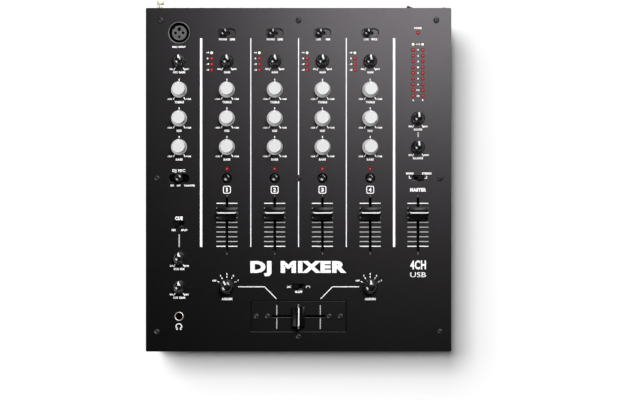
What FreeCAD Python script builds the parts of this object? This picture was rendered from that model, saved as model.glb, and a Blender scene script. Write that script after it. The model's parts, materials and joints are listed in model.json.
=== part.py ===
import FreeCAD, Part
import os

from FreeCAD import Vector

# Four-channel tabletop DJ mixer, in millimetres.
# +X is to the user's right, +Y is towards the rear sockets and +Z is up.
# The model is drawn about the middle of the case, standing on Z = 0, and each
# node is moved at export so that the origin is the middle of the whole footprint.

# ---- driving dimensions: case ----
CASE_WIDTH = 320.0
CASE_DEPTH = 360.0
FOOT_HEIGHT = 8.0
PANEL_TOP = 92.0
PANEL_THICKNESS = 2.0
SHEET = 1.2
REAR_SHEET = 1.5
OVERHANG = 1.0
FLANGE = 18.0
REAR_REACH = 15.0

# ---- driving dimensions: layout of the control panel ----
COLUMN_PITCH = 50.0
ROW_PITCH = 30.0
GAIN_ROW = 124.0
TOGGLE_ROW = 154.0
CUE_ROW = 1.7
FADER_REST = -35.5
FADER_TOP = -24.7
FADER_TRAVEL = 45.0
CROSSFADER_ROW = -143.0

# ---- driving dimensions: working parts ----
BOARD_TOP = 76.0
BOARD_THICKNESS = 1.6
SHAFT_RADIUS = 3.0
RUNNING = 0.05
KNOB_GAP = 1.0
KNOB_HEIGHT = 12.0
SCREW_HOLE = 1.7
THREAD_HOLE = 1.55
TOGGLE_PIVOT = 81.0
TOGGLE_TILT = 10.0
SLIDE_TRAVEL = 5.0
ROCKER_TILT = 10.0

# ---- derived positions ----
PANEL_UNDER = PANEL_TOP - PANEL_THICKNESS
FLANGE_UNDER = PANEL_UNDER - SHEET
BOARD_UNDER = BOARD_TOP - BOARD_THICKNESS
REAR_FACE = CASE_DEPTH / 2
REAR_INNER = REAR_FACE - REAR_SHEET
FADER_SLOT_CENTRE = FADER_TOP - FADER_TRAVEL / 2
WALL_X = CASE_WIDTH / 2 - OVERHANG
WALL_FRONT = -(CASE_DEPTH / 2 - OVERHANG)
UP = Vector(0, 0, 1)
BACK = Vector(0, 1, 0)
RIGHT = Vector(1, 0, 0)

MIC, CH1, CH2, CH3, CH4, MASTER = [COLUMN_PITCH * (n - 2.5) for n in range(6)]
CHANNELS = {"ch1": CH1, "ch2": CH2, "ch3": CH3, "ch4": CH4}
TREBLE_ROW = GAIN_ROW - ROW_PITCH
MID_ROW = GAIN_ROW - 2 * ROW_PITCH
BASS_ROW = GAIN_ROW - 3 * ROW_PITCH

# Every rotary control: node name, column, row and kind of knob.
ROTARIES = [("mic_gain", MIC, GAIN_ROW, "gain")]
for band, row in (("treble", TREBLE_ROW), ("mid", MID_ROW), ("bass", BASS_ROW)):
    ROTARIES.append(("mic_" + band, MIC, row, "tone"))
for channel, column in CHANNELS.items():
    ROTARIES.append((channel + "_gain", column, GAIN_ROW, "gain"))
    for band, row in (("treble", TREBLE_ROW), ("mid", MID_ROW), ("bass", BASS_ROW)):
        ROTARIES.append((channel + "_" + band, column, row, "tone"))
ROTARIES += [
    ("booth_level", MASTER, MID_ROW, "gain"),
    ("balance", MASTER, BASS_ROW, "gain"),
    ("cue_mix", MIC, -82.0, "gain"),
    ("cue_gain", MIC, -112.0, "gain"),
    ("assign_left", CH1, -112.0, "assign"),
    ("assign_right", CH4, -112.0, "assign"),
]

# Skirt and cap radii of each kind of knob.
KNOB_KINDS = {"tone": (8.3, 6.4), "gain": (7.1, 4.75), "assign": (7.75, 6.0)}
# Pointer angle at rest, anticlockwise from straight back.
REST_ANGLE = {"assign_left": 30.0}

FADERS = {"fader_ch1": CH1, "fader_ch2": CH2, "fader_ch3": CH3, "fader_ch4": CH4, "fader_master": MASTER}
TOGGLES = {"toggle_ch1": CH1, "toggle_ch2": CH2, "toggle_ch3": CH3, "toggle_ch4": CH4}
MIC_TOGGLE = (MIC, 1.4)
# Slide switches: centre of the slot, and the side of the slot its handle rests on.
SLIDES = {
    "cue_split_switch": (MIC, -46.5, -1),
    "mono_stereo_switch": (MASTER, 1.8, 1),
    "slope_switch": (0.0, -112.0, -1),
}
CUE_BUTTONS = {"cue_button_" + channel[-1]: column for channel, column in CHANNELS.items()}

MIC_SOCKET = (MIC, TOGGLE_ROW)
PHONES_SOCKET = (MIC, CROSSFADER_ROW)
CENTRE_SCREW = (0.0, 1.7)
PANEL_SCREWS = [(0.0, 167.0), CENTRE_SCREW, (0.0, -164.3)]
for side in (-1, 1):
    PANEL_SCREWS += [(side * 144.2, 167.0), (side * 148.2, 1.7), (side * 148.2, -159.0)]
CROSSFADER_FIXINGS = (-44.0, 44.0)
CROSSFADER_FRAME_FIXINGS = (-32.3, 32.3)

METER_TOP = 141.8
METER_PITCH = 6.0
LAMPS = [(MASTER, TOGGLE_ROW)]
for level in range(10):
    LAMPS += [(MASTER + side * COLUMN_PITCH / 10, METER_TOP - level * METER_PITCH) for side in (-1, 1)]
for column in CHANNELS.values():
    LAMPS += [(column - 16.0, 133.0 - level * METER_PITCH) for level in range(4)]
    LAMPS.append((column, 11.4))

RCA_PITCH = 14.0
RCA_COLUMNS = [-131.8 + RCA_PITCH * n for n in range(5)] + [-60.2] + [-43.8 + RCA_PITCH * n for n in range(3)]
RCA_ROWS = (32.0, 48.0)
RCA_RADIUS = 4.15
RCA_STEM = 3.6
RCA_SHOULDER = 1.2
RCA_HOLE = 1.7
RCA_REACH = 9.0
OUTPUT_COLUMNS = (32.0, 64.0)
OUTPUT_HEIGHT = 56.0
OUTPUT_FIXING = (9.5, 12.0)
MIC2_SOCKET = (6.0, 58.0)
JACK_RADIUS = 3.2
USB_SOCKET = (92.0, 44.0)
INLET = (122.0, 40.0)
ROCKER = (123.0, 72.0)
GROUND = (-147.8, 60.0)
REAR_SCREWS = [(-153.0, 24.0), (153.0, 24.0), (-153.0, 78.0), (153.0, 84.0), (-60.0, 14.5), (40.0, 14.5)]
FEET = [(side_x * 130.0, side_y * 150.0) for side_x in (-1, 1) for side_y in (-1, 1)]
POWER_BOARD = (110.0, 100.0)
PILLARS = [(side * x, y) for side in (-1, 1) for x, y in ((138.0, -100.0), (58.0, 146.0))]


# ---- shape helpers ----
def block(x, y, width, depth, low, high):
    """A box centred on x, y between two heights."""
    return Part.makeBox(width, depth, high - low, Vector(x - width / 2, y - depth / 2, low))


def disc(x, y, radius, low, high):
    """An upright cylinder."""
    return Part.makeCylinder(radius, high - low, Vector(x, y, low), UP)


def peg(x, z, radius, front, back):
    """A cylinder lying along Y."""
    return Part.makeCylinder(radius, back - front, Vector(x, front, z), BACK)


def plate_at_rear(x, z, width, height, front, back):
    """A box centred on x, z between two depths."""
    return Part.makeBox(width, back - front, height, Vector(x - width / 2, front, z - height / 2))


def obround(x, y, length, width, low, high):
    """An upright slot shape with round ends, long along X."""
    reach = (length - width) / 2
    bar = block(x, y, 2 * reach, width, low, high)
    return bar.fuse([disc(x - reach, y, width / 2, low, high), disc(x + reach, y, width / 2, low, high)])


def soft_block(x, y, width, depth, low, high, radius):
    """A box with its four upright edges rounded."""
    shape = block(x, y, width, depth, low, high)
    upright = [edge for edge in shape.Edges if abs(edge.tangentAt(edge.FirstParameter).z) > 0.99]
    return shape.makeFillet(radius, upright)


def revolved(points, x, y):
    """A solid of revolution about the vertical line through x, y, from (radius, height) points."""
    wire = Part.makePolygon([Vector(r, 0, z) for r, z in points] + [Vector(points[0][0], 0, points[0][1])])
    return Part.Face(wire).revolve(Vector(0, 0, 0), UP, 360).translated(Vector(x, y, 0))


def turned(shape, centre, axis, degrees):
    """A copy of the shape turned about an axis through a point."""
    copy = shape.copy()
    copy.rotate(centre, axis, degrees)
    return copy


def save(name, solids):
    """Write one node, moved so that the origin is the middle of the whole footprint."""
    node = Part.makeCompound(solids) if len(solids) > 1 else solids[0]
    node.translate(Vector(0, -REAR_REACH / 2, 0))
    node.exportStep("parts/" + name + ".step")


# ---- fasteners ----
def screw():
    """An M3 pan-head cross-recess screw pointing down, with the underside of its head at Z = 0."""
    head = revolved([(0, 0), (3.0, 0), (3.0, 0.9), (2.5, 1.45), (1.5, 1.8), (0, 1.85)], 0, 0)
    shank = disc(0, 0, 1.5, -6.0, 0.2)
    cross = block(0, 0, 3.2, 0.6, 0.7, 2.5).fuse(block(0, 0, 0.6, 3.2, 0.7, 2.5))
    return head.fuse(shank).cut(cross)


def make_screws():
    """The screws of the panel, crossfader plate, rear panel, output sockets and feet."""
    down = screw()
    inward = turned(down, Vector(0, 0, 0), RIGHT, -90)
    upward = turned(down, Vector(0, 0, 0), RIGHT, 180)
    solids = [down.translated(Vector(x, y, PANEL_TOP)) for x, y in PANEL_SCREWS]
    for x in CROSSFADER_FIXINGS + CROSSFADER_FRAME_FIXINGS:
        solids.append(down.translated(Vector(x, CROSSFADER_ROW, PLATE_TOP)))
    for x, z in REAR_SCREWS:
        solids.append(inward.translated(Vector(x, REAR_FACE, z)))
    for x in OUTPUT_COLUMNS:
        for side in (-1, 1):
            height = OUTPUT_HEIGHT + side * OUTPUT_FIXING[1]
            solids.append(inward.translated(Vector(x + side * OUTPUT_FIXING[0], REAR_FACE + 2.0, height)))
    for x, y in FEET:
        solids.append(upward.translated(Vector(x, y, FOOT_HEIGHT - 3.0)))
    return solids


# ---- case ----
PLATE_TOP = PANEL_TOP - 0.8
PLATE_THICKNESS = 1.5
PLATE_SIZE = (99.0, 31.4)
PLATE_OPENING = (99.8, 32.2)


def make_top_panel():
    """The control panel, with a hole or slot for every control, and two ledges under the crossfader plate."""
    panel = soft_block(0, 0, CASE_WIDTH, CASE_DEPTH, PANEL_UNDER, PANEL_TOP, 1.5)
    plate_under = PLATE_TOP - PLATE_THICKNESS
    low, high = PANEL_UNDER - 1, PANEL_TOP + 1
    window = block(0, CROSSFADER_ROW, PLATE_OPENING[0], PLATE_OPENING[1], plate_under, high)
    fixings = [disc(x, CROSSFADER_ROW, SCREW_HOLE, PANEL_UNDER - 5, high) for x in CROSSFADER_FIXINGS]
    ledge_floor = plate_under - SHEET
    ledges = [block(x, CROSSFADER_ROW, 18.0, 34.0, ledge_floor, PANEL_UNDER) for x in (-50.0, 50.0)]
    ledges = [ledge.cut([window] + fixings) for ledge in ledges]
    cuts = [window]
    cuts += [disc(x, y, SHAFT_RADIUS + 0.8, low, high) for _, x, y, _ in ROTARIES]
    cuts += [disc(x, y, 1.6, low, high) for x, y in LAMPS]
    cuts += [disc(x, y, SCREW_HOLE, low, high) for x, y in PANEL_SCREWS]
    cuts += [disc(x, CUE_ROW, 5.0, low, high) for x in CUE_BUTTONS.values()]
    cuts += [obround(x, TOGGLE_ROW, 17.8, 8.4, low, high) for x in TOGGLES.values()]
    cuts.append(obround(MIC_TOGGLE[0], MIC_TOGGLE[1], 21.0, 8.4, low, high))
    cuts += [block(x, y, 11.8, 5.6, low, high) for x, y, _ in SLIDES.values()]
    cuts += [block(x, FADER_SLOT_CENTRE, 2.2, 56.5, low, high) for x in FADERS.values()]
    cuts.append(disc(MIC_SOCKET[0], MIC_SOCKET[1], 11.7, low, high))
    cuts.append(disc(PHONES_SOCKET[0], PHONES_SOCKET[1], 4.3, low, high))
    return [panel.cut(Part.makeCompound(cuts))] + ledges


def make_base_pan():
    """The spot-welded base: floor, walls, inward screw flanges, rear tabs, press nuts and pillars."""
    floor_top = FOOT_HEIGHT + SHEET
    inner_x = WALL_X - SHEET
    flange_x = WALL_X - FLANGE
    flange_back = REAR_INNER - FLANGE - 0.3
    wall_back = WALL_FRONT + SHEET
    flange_front = WALL_FRONT + FLANGE

    def sheet(left, right, front, back, low, high):
        return block((left + right) / 2, (front + back) / 2, right - left, back - front, low, high)

    sheets = [
        sheet(-WALL_X, WALL_X, WALL_FRONT, REAR_INNER, FOOT_HEIGHT, floor_top),
        sheet(-WALL_X, WALL_X, WALL_FRONT, wall_back, floor_top, PANEL_UNDER),
        sheet(inner_x, WALL_X, wall_back, REAR_INNER, floor_top, PANEL_UNDER),
        sheet(-WALL_X, -inner_x, wall_back, REAR_INNER, floor_top, PANEL_UNDER),
        sheet(-inner_x, inner_x, wall_back, flange_front, FLANGE_UNDER, PANEL_UNDER),
        sheet(flange_x, inner_x, flange_front, flange_back, FLANGE_UNDER, PANEL_UNDER),
        sheet(-inner_x, -flange_x, flange_front, flange_back, FLANGE_UNDER, PANEL_UNDER),
        sheet(149.6, inner_x, REAR_INNER - SHEET, REAR_INNER, 14.0, 86.0),
        sheet(-inner_x, -149.6, REAR_INNER - SHEET, REAR_INNER, 14.0, 86.0),
        sheet(-75.0, 75.0, REAR_INNER - SHEET, REAR_INNER, floor_top, 20.0),
    ]
    flange_screws = [(x, y) for x, y in PANEL_SCREWS if y < 160 and (x, y) != CENTRE_SCREW]
    nuts = [disc(x, y, 3.2, PANEL_UNDER - 4, FLANGE_UNDER) for x, y in flange_screws]
    nuts += [disc(x, y, 3.2, floor_top, floor_top + 3) for x, y in FEET]
    pillars = [disc(x, y, 3.5, floor_top, BOARD_UNDER) for x, y in PILLARS]
    pillars.append(disc(CENTRE_SCREW[0], CENTRE_SCREW[1], 3.5, floor_top, PANEL_UNDER))
    cuts = [disc(x, y, THREAD_HOLE, PANEL_UNDER - 8, PANEL_UNDER + 1) for x, y in PANEL_SCREWS]
    cuts += [peg(x, z, THREAD_HOLE, REAR_INNER - 5, REAR_FACE) for x, z in REAR_SCREWS]
    cuts += [disc(x, y, THREAD_HOLE, FOOT_HEIGHT - 1, FOOT_HEIGHT + 5) for x, y in FEET]
    cuts.append(peg(GROUND[0], GROUND[1], 4.8, REAR_INNER - 5, REAR_FACE))
    return [piece.cut(cuts) for piece in sheets + nuts + pillars]


def output_fixing_holes(x, z, front, back):
    """The two screw holes at opposite corners of a balanced output socket."""
    across, up = OUTPUT_FIXING
    return [peg(x + side * across, z + side * up, SCREW_HOLE, front, back) for side in (-1, 1)]


def make_rear_panel():
    """The rear plate with its socket openings, and the welded flange and nuts that carry the top panel."""
    height = PANEL_UNDER - FOOT_HEIGHT
    middle = (PANEL_UNDER + FOOT_HEIGHT) / 2
    plate = plate_at_rear(0, middle, 2 * WALL_X, height, REAR_INNER, REAR_FACE)
    flange_width = 2 * (WALL_X - SHEET - 0.5)
    flange = block(0, REAR_INNER - FLANGE / 2, flange_width, FLANGE, FLANGE_UNDER, PANEL_UNDER)
    rear_screws = [(x, y) for x, y in PANEL_SCREWS if y > 160]
    nuts = [disc(x, y, 3.2, PANEL_UNDER - 4, FLANGE_UNDER) for x, y in rear_screws]
    threads = [disc(x, y, THREAD_HOLE, PANEL_UNDER - 6, PANEL_UNDER + 1) for x, y in rear_screws]
    notch = disc(MIC_SOCKET[0], MIC_SOCKET[1], 12.0, FLANGE_UNDER - 5, PANEL_UNDER + 1)
    welded = [piece.cut(threads + [notch]) for piece in [flange] + nuts]
    low, high = REAR_INNER - 1, REAR_FACE + 1
    cuts = [peg(x, z, 4.4, low, high) for x in RCA_COLUMNS for z in RCA_ROWS]
    cuts += [peg(x, OUTPUT_HEIGHT, 12.1, low, high) for x in OUTPUT_COLUMNS]
    cuts += [peg(x, z, SCREW_HOLE, low, high) for x, z in REAR_SCREWS]
    for x in OUTPUT_COLUMNS:
        cuts += output_fixing_holes(x, OUTPUT_HEIGHT, low, high)
    cuts.append(peg(MIC2_SOCKET[0], MIC2_SOCKET[1], 4.8, low, high))
    cuts.append(peg(GROUND[0], GROUND[1], 2.6, low, high))
    cuts.append(plate_at_rear(USB_SOCKET[0], USB_SOCKET[1], 12.5, 11.5, low, high))
    cuts.append(plate_at_rear(INLET[0], INLET[1], 27.4, 20.2, low, high))
    cuts.append(plate_at_rear(ROCKER[0], ROCKER[1], 20.4, 13.2, low, high))
    return [plate.cut(Part.makeCompound(cuts))] + welded


def make_crossfader_plate():
    """The removable plate that carries the crossfader, let into the panel."""
    width, depth = PLATE_SIZE
    plate = soft_block(0, CROSSFADER_ROW, width, depth, PLATE_TOP - PLATE_THICKNESS, PLATE_TOP, 0.6)
    cuts = [block(0, CROSSFADER_ROW, 56.0, 2.2, PANEL_UNDER - 2, PANEL_TOP)]
    for x in CROSSFADER_FIXINGS + CROSSFADER_FRAME_FIXINGS:
        cuts.append(disc(x, CROSSFADER_ROW, SCREW_HOLE, PANEL_UNDER - 2, PANEL_TOP))
    return [plate.cut(Part.makeCompound(cuts))]


def make_feet():
    """Four tapered rubber feet with a recess for the screw head."""
    solids = []
    for x, y in FEET:
        foot = revolved([(0, 0), (9.8, 0), (10.5, 0.7), (12.0, FOOT_HEIGHT), (0, FOOT_HEIGHT)], x, y)
        recess = disc(x, y, 4.5, -1, FOOT_HEIGHT - 3.0)
        solids.append(foot.cut([recess, disc(x, y, SCREW_HOLE, 0, FOOT_HEIGHT + 1)]))
    return solids


# ---- rotary controls ----
def make_knob(name, x, y, kind):
    """A knob with its flared skirt, raised pointer and hollow underside, and the shaft it sits on."""
    skirt, cap = KNOB_KINDS[kind]
    low = PANEL_TOP + KNOB_GAP
    high = low + KNOB_HEIGHT
    outline = [(0, low), (skirt, low), (skirt, low + 1.6), (skirt - 0.5, low + 2.2)]
    outline += [(cap + 0.7, low + 4.2), (cap + 0.3, high - 0.8), (cap, high - 0.2), (cap - 0.5, high)]
    outline += [(cap - 0.9, high - 0.4), (0, high - 0.4)]
    knob = revolved(outline, x, y)
    pointer = block(x, y + (cap + 1.2) / 2, 1.2, cap - 1.2, high - 1.0, high)
    knob = knob.fuse(pointer)
    stem = SHAFT_RADIUS + 1.2
    hollow_outline = [(stem, low - 1), (skirt - 1.4, low - 1), (skirt - 1.4, low + 1.4)]
    if cap - 0.6 > stem:
        hollow_outline.append((cap - 0.6, low + 3.6))
    hollow = revolved(hollow_outline + [(stem, low + 3.6)], x, y)
    socket = disc(x, y, SHAFT_RADIUS + 0.02, low - 1, high - 2.5)
    rim = disc(x, y, SHAFT_RADIUS + 2.0, low - 1, low + 1.0)
    knob = knob.cut([hollow, socket, rim])
    shaft = disc(x, y, SHAFT_RADIUS, BOARD_TOP + 1.5, high - 2.6)
    angle = REST_ANGLE.get(name, 0.0)
    return [turned(knob, Vector(x, y, 0), UP, angle), shaft]


def make_pots():
    """The potentiometer and rotary-switch bodies with the bushings that guide the shafts."""
    solids = []
    for _, x, y, _ in ROTARIES:
        body = soft_block(x, y, 9.8, 11.0, BOARD_TOP, BOARD_TOP + 6.8, 0.6)
        bushing = disc(x, y, SHAFT_RADIUS + 0.6, BOARD_TOP + 6, PANEL_TOP + 0.6)
        bore = disc(x, y, SHAFT_RADIUS + RUNNING, BOARD_TOP + 1.3, PANEL_TOP + 2)
        solids.append(body.fuse(bushing).cut(bore))
    return solids


# ---- faders ----
def fader_frame(top):
    """A fader's open-ended steel channel and two guide rods, long along Y and centred on the origin."""
    low = top - 12.0
    shell = block(0, 0, 13.0, 79.0, low, top)
    room = block(0, 0, 10.6, 76.6, low + SHEET, top - SHEET)
    slot = block(0, 0, 3.0, 58.0, top - 3, top + 1)
    rods = [peg(side * 3.2, low + 5.0, 1.0, -39.0, 39.0) for side in (-1, 1)]
    channel = shell.cut([room, slot])
    return [channel.cut(rods)] + rods


def fader_moving(top):
    """A fader's carriage, lever and cap at the middle of its travel, sliding along Y."""
    low = top - 12.0
    carriage = block(0, 0, 9.4, 8.0, low + 2.4, low + 7.6)
    holes = [peg(side * 3.2, low + 5.0, 1.08, -6, 6) for side in (-1, 1)]
    lever = block(0, 0, 1.2, 5.0, low + 7.0, PANEL_TOP + 7.0)
    slider = carriage.cut(holes).fuse(lever)
    base = PANEL_TOP + 1.4
    outline = [(-6.75, base), (6.75, base), (6.75, base + 2.6), (5.6, base + 4.4), (3.4, base + 5.0)]
    outline += [(1.1, base + 11.4)]
    outline += [(-y, z) for y, z in reversed(outline[2:])]
    points = [Vector(-9.5, y, z) for y, z in outline]
    cap = Part.Face(Part.makePolygon(points + points[:1])).extrude(Vector(19.0, 0, 0))
    pocket = block(0, 0, 1.3, 5.1, base - 1, PANEL_TOP + 7.1)
    return [slider, cap.cut(pocket)]


def make_fader(x):
    """A channel fader resting on the third mark from the top."""
    return [piece.translated(Vector(x, FADER_REST, 0)) for piece in fader_moving(PANEL_UNDER - 2.0)]


def across_the_row(pieces):
    """Fader pieces turned to lie along X in the crossfader's place."""
    sideways = [turned(piece, Vector(0, 0, 0), UP, -90) for piece in pieces]
    return [piece.translated(Vector(0, CROSSFADER_ROW, 0)) for piece in sideways]


def make_crossfader():
    """The crossfader, the same parts turned to slide along X, resting at the centre."""
    pieces = fader_moving(PLATE_TOP - PLATE_THICKNESS)
    return across_the_row(pieces)


def make_fader_frames():
    """The frames of the five upright faders, and the crossfader's under its plate."""
    solids = []
    upright = fader_frame(PANEL_UNDER - 2.0)
    for x in FADERS.values():
        solids += [piece.translated(Vector(x, FADER_SLOT_CENTRE, 0)) for piece in upright]
    cross = across_the_row(fader_frame(PLATE_TOP - PLATE_THICKNESS))
    low, high = PANEL_UNDER - 4, PANEL_TOP
    holes = [disc(x, CROSSFADER_ROW, THREAD_HOLE, low, high) for x in CROSSFADER_FRAME_FIXINGS]
    return solids + [cross[0].cut(holes)] + cross[1:]


# ---- switches ----
def toggle_body(x, y):
    """A toggle switch body with the slot its lever swings in."""
    body = soft_block(x, y, 19.0, 10.0, BOARD_TOP, PANEL_UNDER - 1.5, 0.6)
    return body.cut(block(x, y, 9.6, 4.6, TOGGLE_PIVOT - 2.6, PANEL_UNDER))


def make_toggle(x, y, tilt):
    """A toggle lever: pivot ball, neck and round bat, leaning by tilt degrees towards -X."""
    pivot = Vector(x, y, TOGGLE_PIVOT)
    ball = Part.makeSphere(2.1, pivot)
    neck = disc(x, y, 1.6, TOGGLE_PIVOT, PANEL_TOP + 1)
    low = PANEL_TOP - 1.0
    outline = [(0, low), (2.2, low), (2.6, low + 1.0), (3.9, low + 6.0), (4.1, low + 7.6)]
    outline += [(3.6, low + 8.9), (2.4, low + 9.6), (1.2, low + 9.9), (0, low + 9.9)]
    lever = ball.fuse([neck, revolved(outline, x, y)])
    return [turned(lever, pivot, BACK, -tilt)]


def slide_body(x, y):
    """A slide switch body with the groove its stem runs in."""
    body = soft_block(x, y, 16.0, 9.0, BOARD_TOP, PANEL_UNDER - 2.6, 0.6)
    return body.cut(block(x, y, 3.0 + SLIDE_TRAVEL + 0.8, 2.8, BOARD_TOP + 3.4, PANEL_UNDER))


def make_slide(x, y, side):
    """A slide switch handle and stem, resting against one end of its travel."""
    centre = x + side * SLIDE_TRAVEL / 2
    stem = block(centre, y, 3.0, 2.0, BOARD_TOP + 4.0, PANEL_UNDER - 1.5)
    handle = soft_block(centre, y, 5.7, 4.4, PANEL_UNDER - 2.0, PANEL_TOP + 2.4, 0.5)
    return [stem.fuse(handle)]


def button_body(x):
    """A push switch body with the hole its plunger runs in."""
    body = soft_block(x, CUE_ROW, 8.0, 8.0, BOARD_TOP, BOARD_TOP + 9.0, 0.5)
    return body.cut(disc(x, CUE_ROW, 1.5 + RUNNING, BOARD_TOP + 2.0, BOARD_TOP + 10))


def make_button(x):
    """A round cue button on its plunger."""
    low = PANEL_UNDER - 0.5
    high = PANEL_TOP + 3.4
    outline = [(0, low), (3.7, low), (3.7, high - 1.0), (3.3, high - 0.4), (2.6, high), (0, high - 0.3)]
    plunger = disc(x, CUE_ROW, 1.5, BOARD_TOP + 4.0, low + 1)
    return [revolved(outline, x, CUE_ROW).fuse(plunger)]


def make_switch_bodies():
    """The bodies of the toggle, slide and push switches."""
    solids = [toggle_body(x, TOGGLE_ROW) for x in TOGGLES.values()]
    solids.append(toggle_body(*MIC_TOGGLE))
    solids += [slide_body(x, y) for x, y, _ in SLIDES.values()]
    solids += [button_body(x) for x in CUE_BUTTONS.values()]
    return solids


def make_rocker():
    """The mains rocker, a shallow V that rocks left and right, resting with its left end out."""
    x, z = ROCKER
    pivot = Vector(x, REAR_FACE, z)
    front, face = REAR_FACE - 3.0, REAR_FACE + 2.0
    outline = [(-8.5, front), (8.5, front), (8.5, face + 2.2), (0, face + 0.6), (-8.5, face + 2.2)]
    points = [Vector(x + dx, y, z - 5.2) for dx, y in outline]
    rocker = Part.Face(Part.makePolygon(points + points[:1])).extrude(Vector(0, 0, 10.4))
    return [turned(rocker, pivot, UP, -ROCKER_TILT)]


# ---- lamps ----
def make_lamps():
    """Round 3 mm lamps with a domed top, a base collar and two legs down to the board."""
    solids = []
    for x, y in LAMPS:
        low, shoulder = PANEL_UNDER - 3.0, PANEL_TOP
        dome = Part.makeSphere(1.5, Vector(x, y, shoulder - 0.6))
        bulb = disc(x, y, 1.5, low, shoulder - 0.6).fuse([dome, disc(x, y, 1.9, low, low + 1.0)])
        legs = [block(x + side * 1.27, y, 0.5, 0.5, BOARD_TOP, low + 0.5) for side in (-1, 1)]
        solids.append(bulb.fuse(legs))
    return solids


# ---- sockets ----
def make_panel_sockets():
    """The latching microphone socket and the headphone socket, fitted from below the panel."""
    x, y = MIC_SOCKET
    low, high = PANEL_TOP - 26.0, PANEL_TOP + 0.5
    shell = disc(x, y, 11.5, low, high).cut(disc(x, y, 9.7, low + 2.0, high + 1))
    insert = disc(x, y, 7.8, low + 2.0, PANEL_TOP - 1.5)
    contacts = [(-3.9, 0.0), (3.9, 0.0), (0.0, -4.1)]
    insert = insert.cut([disc(x + dx, y + dy, 1.3, PANEL_TOP - 14, PANEL_TOP) for dx, dy in contacts])
    x, y = PHONES_SOCKET
    body = soft_block(x, y, 16.0, 18.0, PANEL_UNDER - 24.0, PANEL_UNDER - 0.5, 1.0)
    ferrule = disc(x, y, 4.2, PANEL_UNDER - 1, PANEL_TOP + 0.5)
    rim = disc(x, y, 4.85, PANEL_TOP, PANEL_TOP + 1.2)
    jack = body.fuse([ferrule, rim]).cut(disc(x, y, JACK_RADIUS, PANEL_UNDER - 22.0, PANEL_TOP + 2))
    return [shell, insert, jack]


def rca_socket(x, z):
    """A phono socket: moulded body with its collar, and the sleeve with its stem and contact hole."""
    shoulder = REAR_FACE + RCA_SHOULDER
    back = REAR_FACE + RCA_REACH
    body = plate_at_rear(x, z, 12.0, 13.0, REAR_FACE - 10.0, REAR_INNER)
    neck = peg(x, z, 4.35, REAR_INNER - 1, REAR_FACE + 0.5)
    collar = peg(x, z, 5.3, REAR_FACE, shoulder)
    body = body.fuse([neck, collar]).cut(peg(x, z, RCA_STEM, REAR_INNER - 3, back))
    sleeve = peg(x, z, RCA_RADIUS, shoulder, back).fuse(peg(x, z, RCA_STEM, REAR_INNER - 3, back))
    return [body, sleeve.cut(peg(x, z, RCA_HOLE, REAR_FACE, back + 1))]


def output_socket(x, z):
    """A three-pole balanced output: flanged shell with a round recess, and its three pins."""
    flange = plate_at_rear(x, z, 26.0, 31.0, REAR_FACE, REAR_FACE + 2.0)
    shell = peg(x, z, 11.8, REAR_FACE - 20.0, REAR_FACE + 1)
    places = [(-3.9, 0.8), (3.9, 0.8), (0.0, -4.1)]
    pins = [peg(x + dx, z + dz, 1.2, REAR_FACE - 24.0, REAR_FACE - 3.0) for dx, dz in places]
    cuts = [peg(x, z, 9.6, REAR_FACE - 16.0, REAR_FACE + 3)] + pins
    cuts += output_fixing_holes(x, z, REAR_FACE - 1, REAR_FACE + 3)
    return [flange.fuse(shell).cut(cuts)] + pins


def make_rear_sockets():
    """Nine pairs of phono sockets, two balanced outputs, the second microphone socket and USB."""
    solids = []
    for x in RCA_COLUMNS:
        for z in RCA_ROWS:
            solids += rca_socket(x, z)
    for x in OUTPUT_COLUMNS:
        solids += output_socket(x, OUTPUT_HEIGHT)
    x, z = MIC2_SOCKET
    jack = plate_at_rear(x, z, 16.0, 16.0, REAR_FACE - 26.0, REAR_INNER)
    ferrule = peg(x, z, 4.6, REAR_INNER - 1, REAR_FACE + 4.0)
    jack = jack.fuse([ferrule, peg(x, z, 6.5, REAR_FACE, REAR_FACE + 2.4)])
    solids.append(jack.cut(peg(x, z, JACK_RADIUS, REAR_FACE - 24.0, REAR_FACE + 5)))
    x, z = USB_SOCKET
    shell = plate_at_rear(x, z, 12.0, 11.0, REAR_FACE - 16.0, REAR_FACE + 0.6)
    shell = shell.cut(plate_at_rear(x, z, 10.8, 9.8, REAR_FACE - 14.0, REAR_FACE + 2))
    solids.append(shell)
    solids.append(plate_at_rear(x, z, 5.6, 3.2, REAR_FACE - 14.0, REAR_FACE - 1.5))
    return solids


def make_power_inlet():
    """The mains inlet with its three blades, and the frame that the rocker sits in."""
    x, z = INLET
    flange = plate_at_rear(x, z, 31.0, 24.0, REAR_FACE, REAR_FACE + 2.0)
    body = plate_at_rear(x, z, 27.0, 19.8, REAR_FACE - 20.0, REAR_FACE + 1)
    places = [(-7.0, -2.0), (7.0, -2.0), (0.0, 2.0)]
    blades = [plate_at_rear(x + dx, z + dz, 2.0, 4.0, REAR_FACE - 24.0, REAR_FACE - 2.0) for dx, dz in places]
    inside = plate_at_rear(x, z, 24.2, 16.2, REAR_FACE - 17.0, REAR_FACE + 3)
    inlet = flange.fuse(body).cut([inside] + blades)
    x, z = ROCKER
    frame = plate_at_rear(x, z, 23.0, 16.0, REAR_FACE, REAR_FACE + 1.6)
    frame = frame.fuse(plate_at_rear(x, z, 20.0, 12.8, REAR_FACE - 18.0, REAR_FACE + 1))
    frame = frame.cut(plate_at_rear(x, z, 18.4, 11.2, REAR_FACE - 6.0, REAR_FACE + 3))
    return [inlet, frame] + blades


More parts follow.
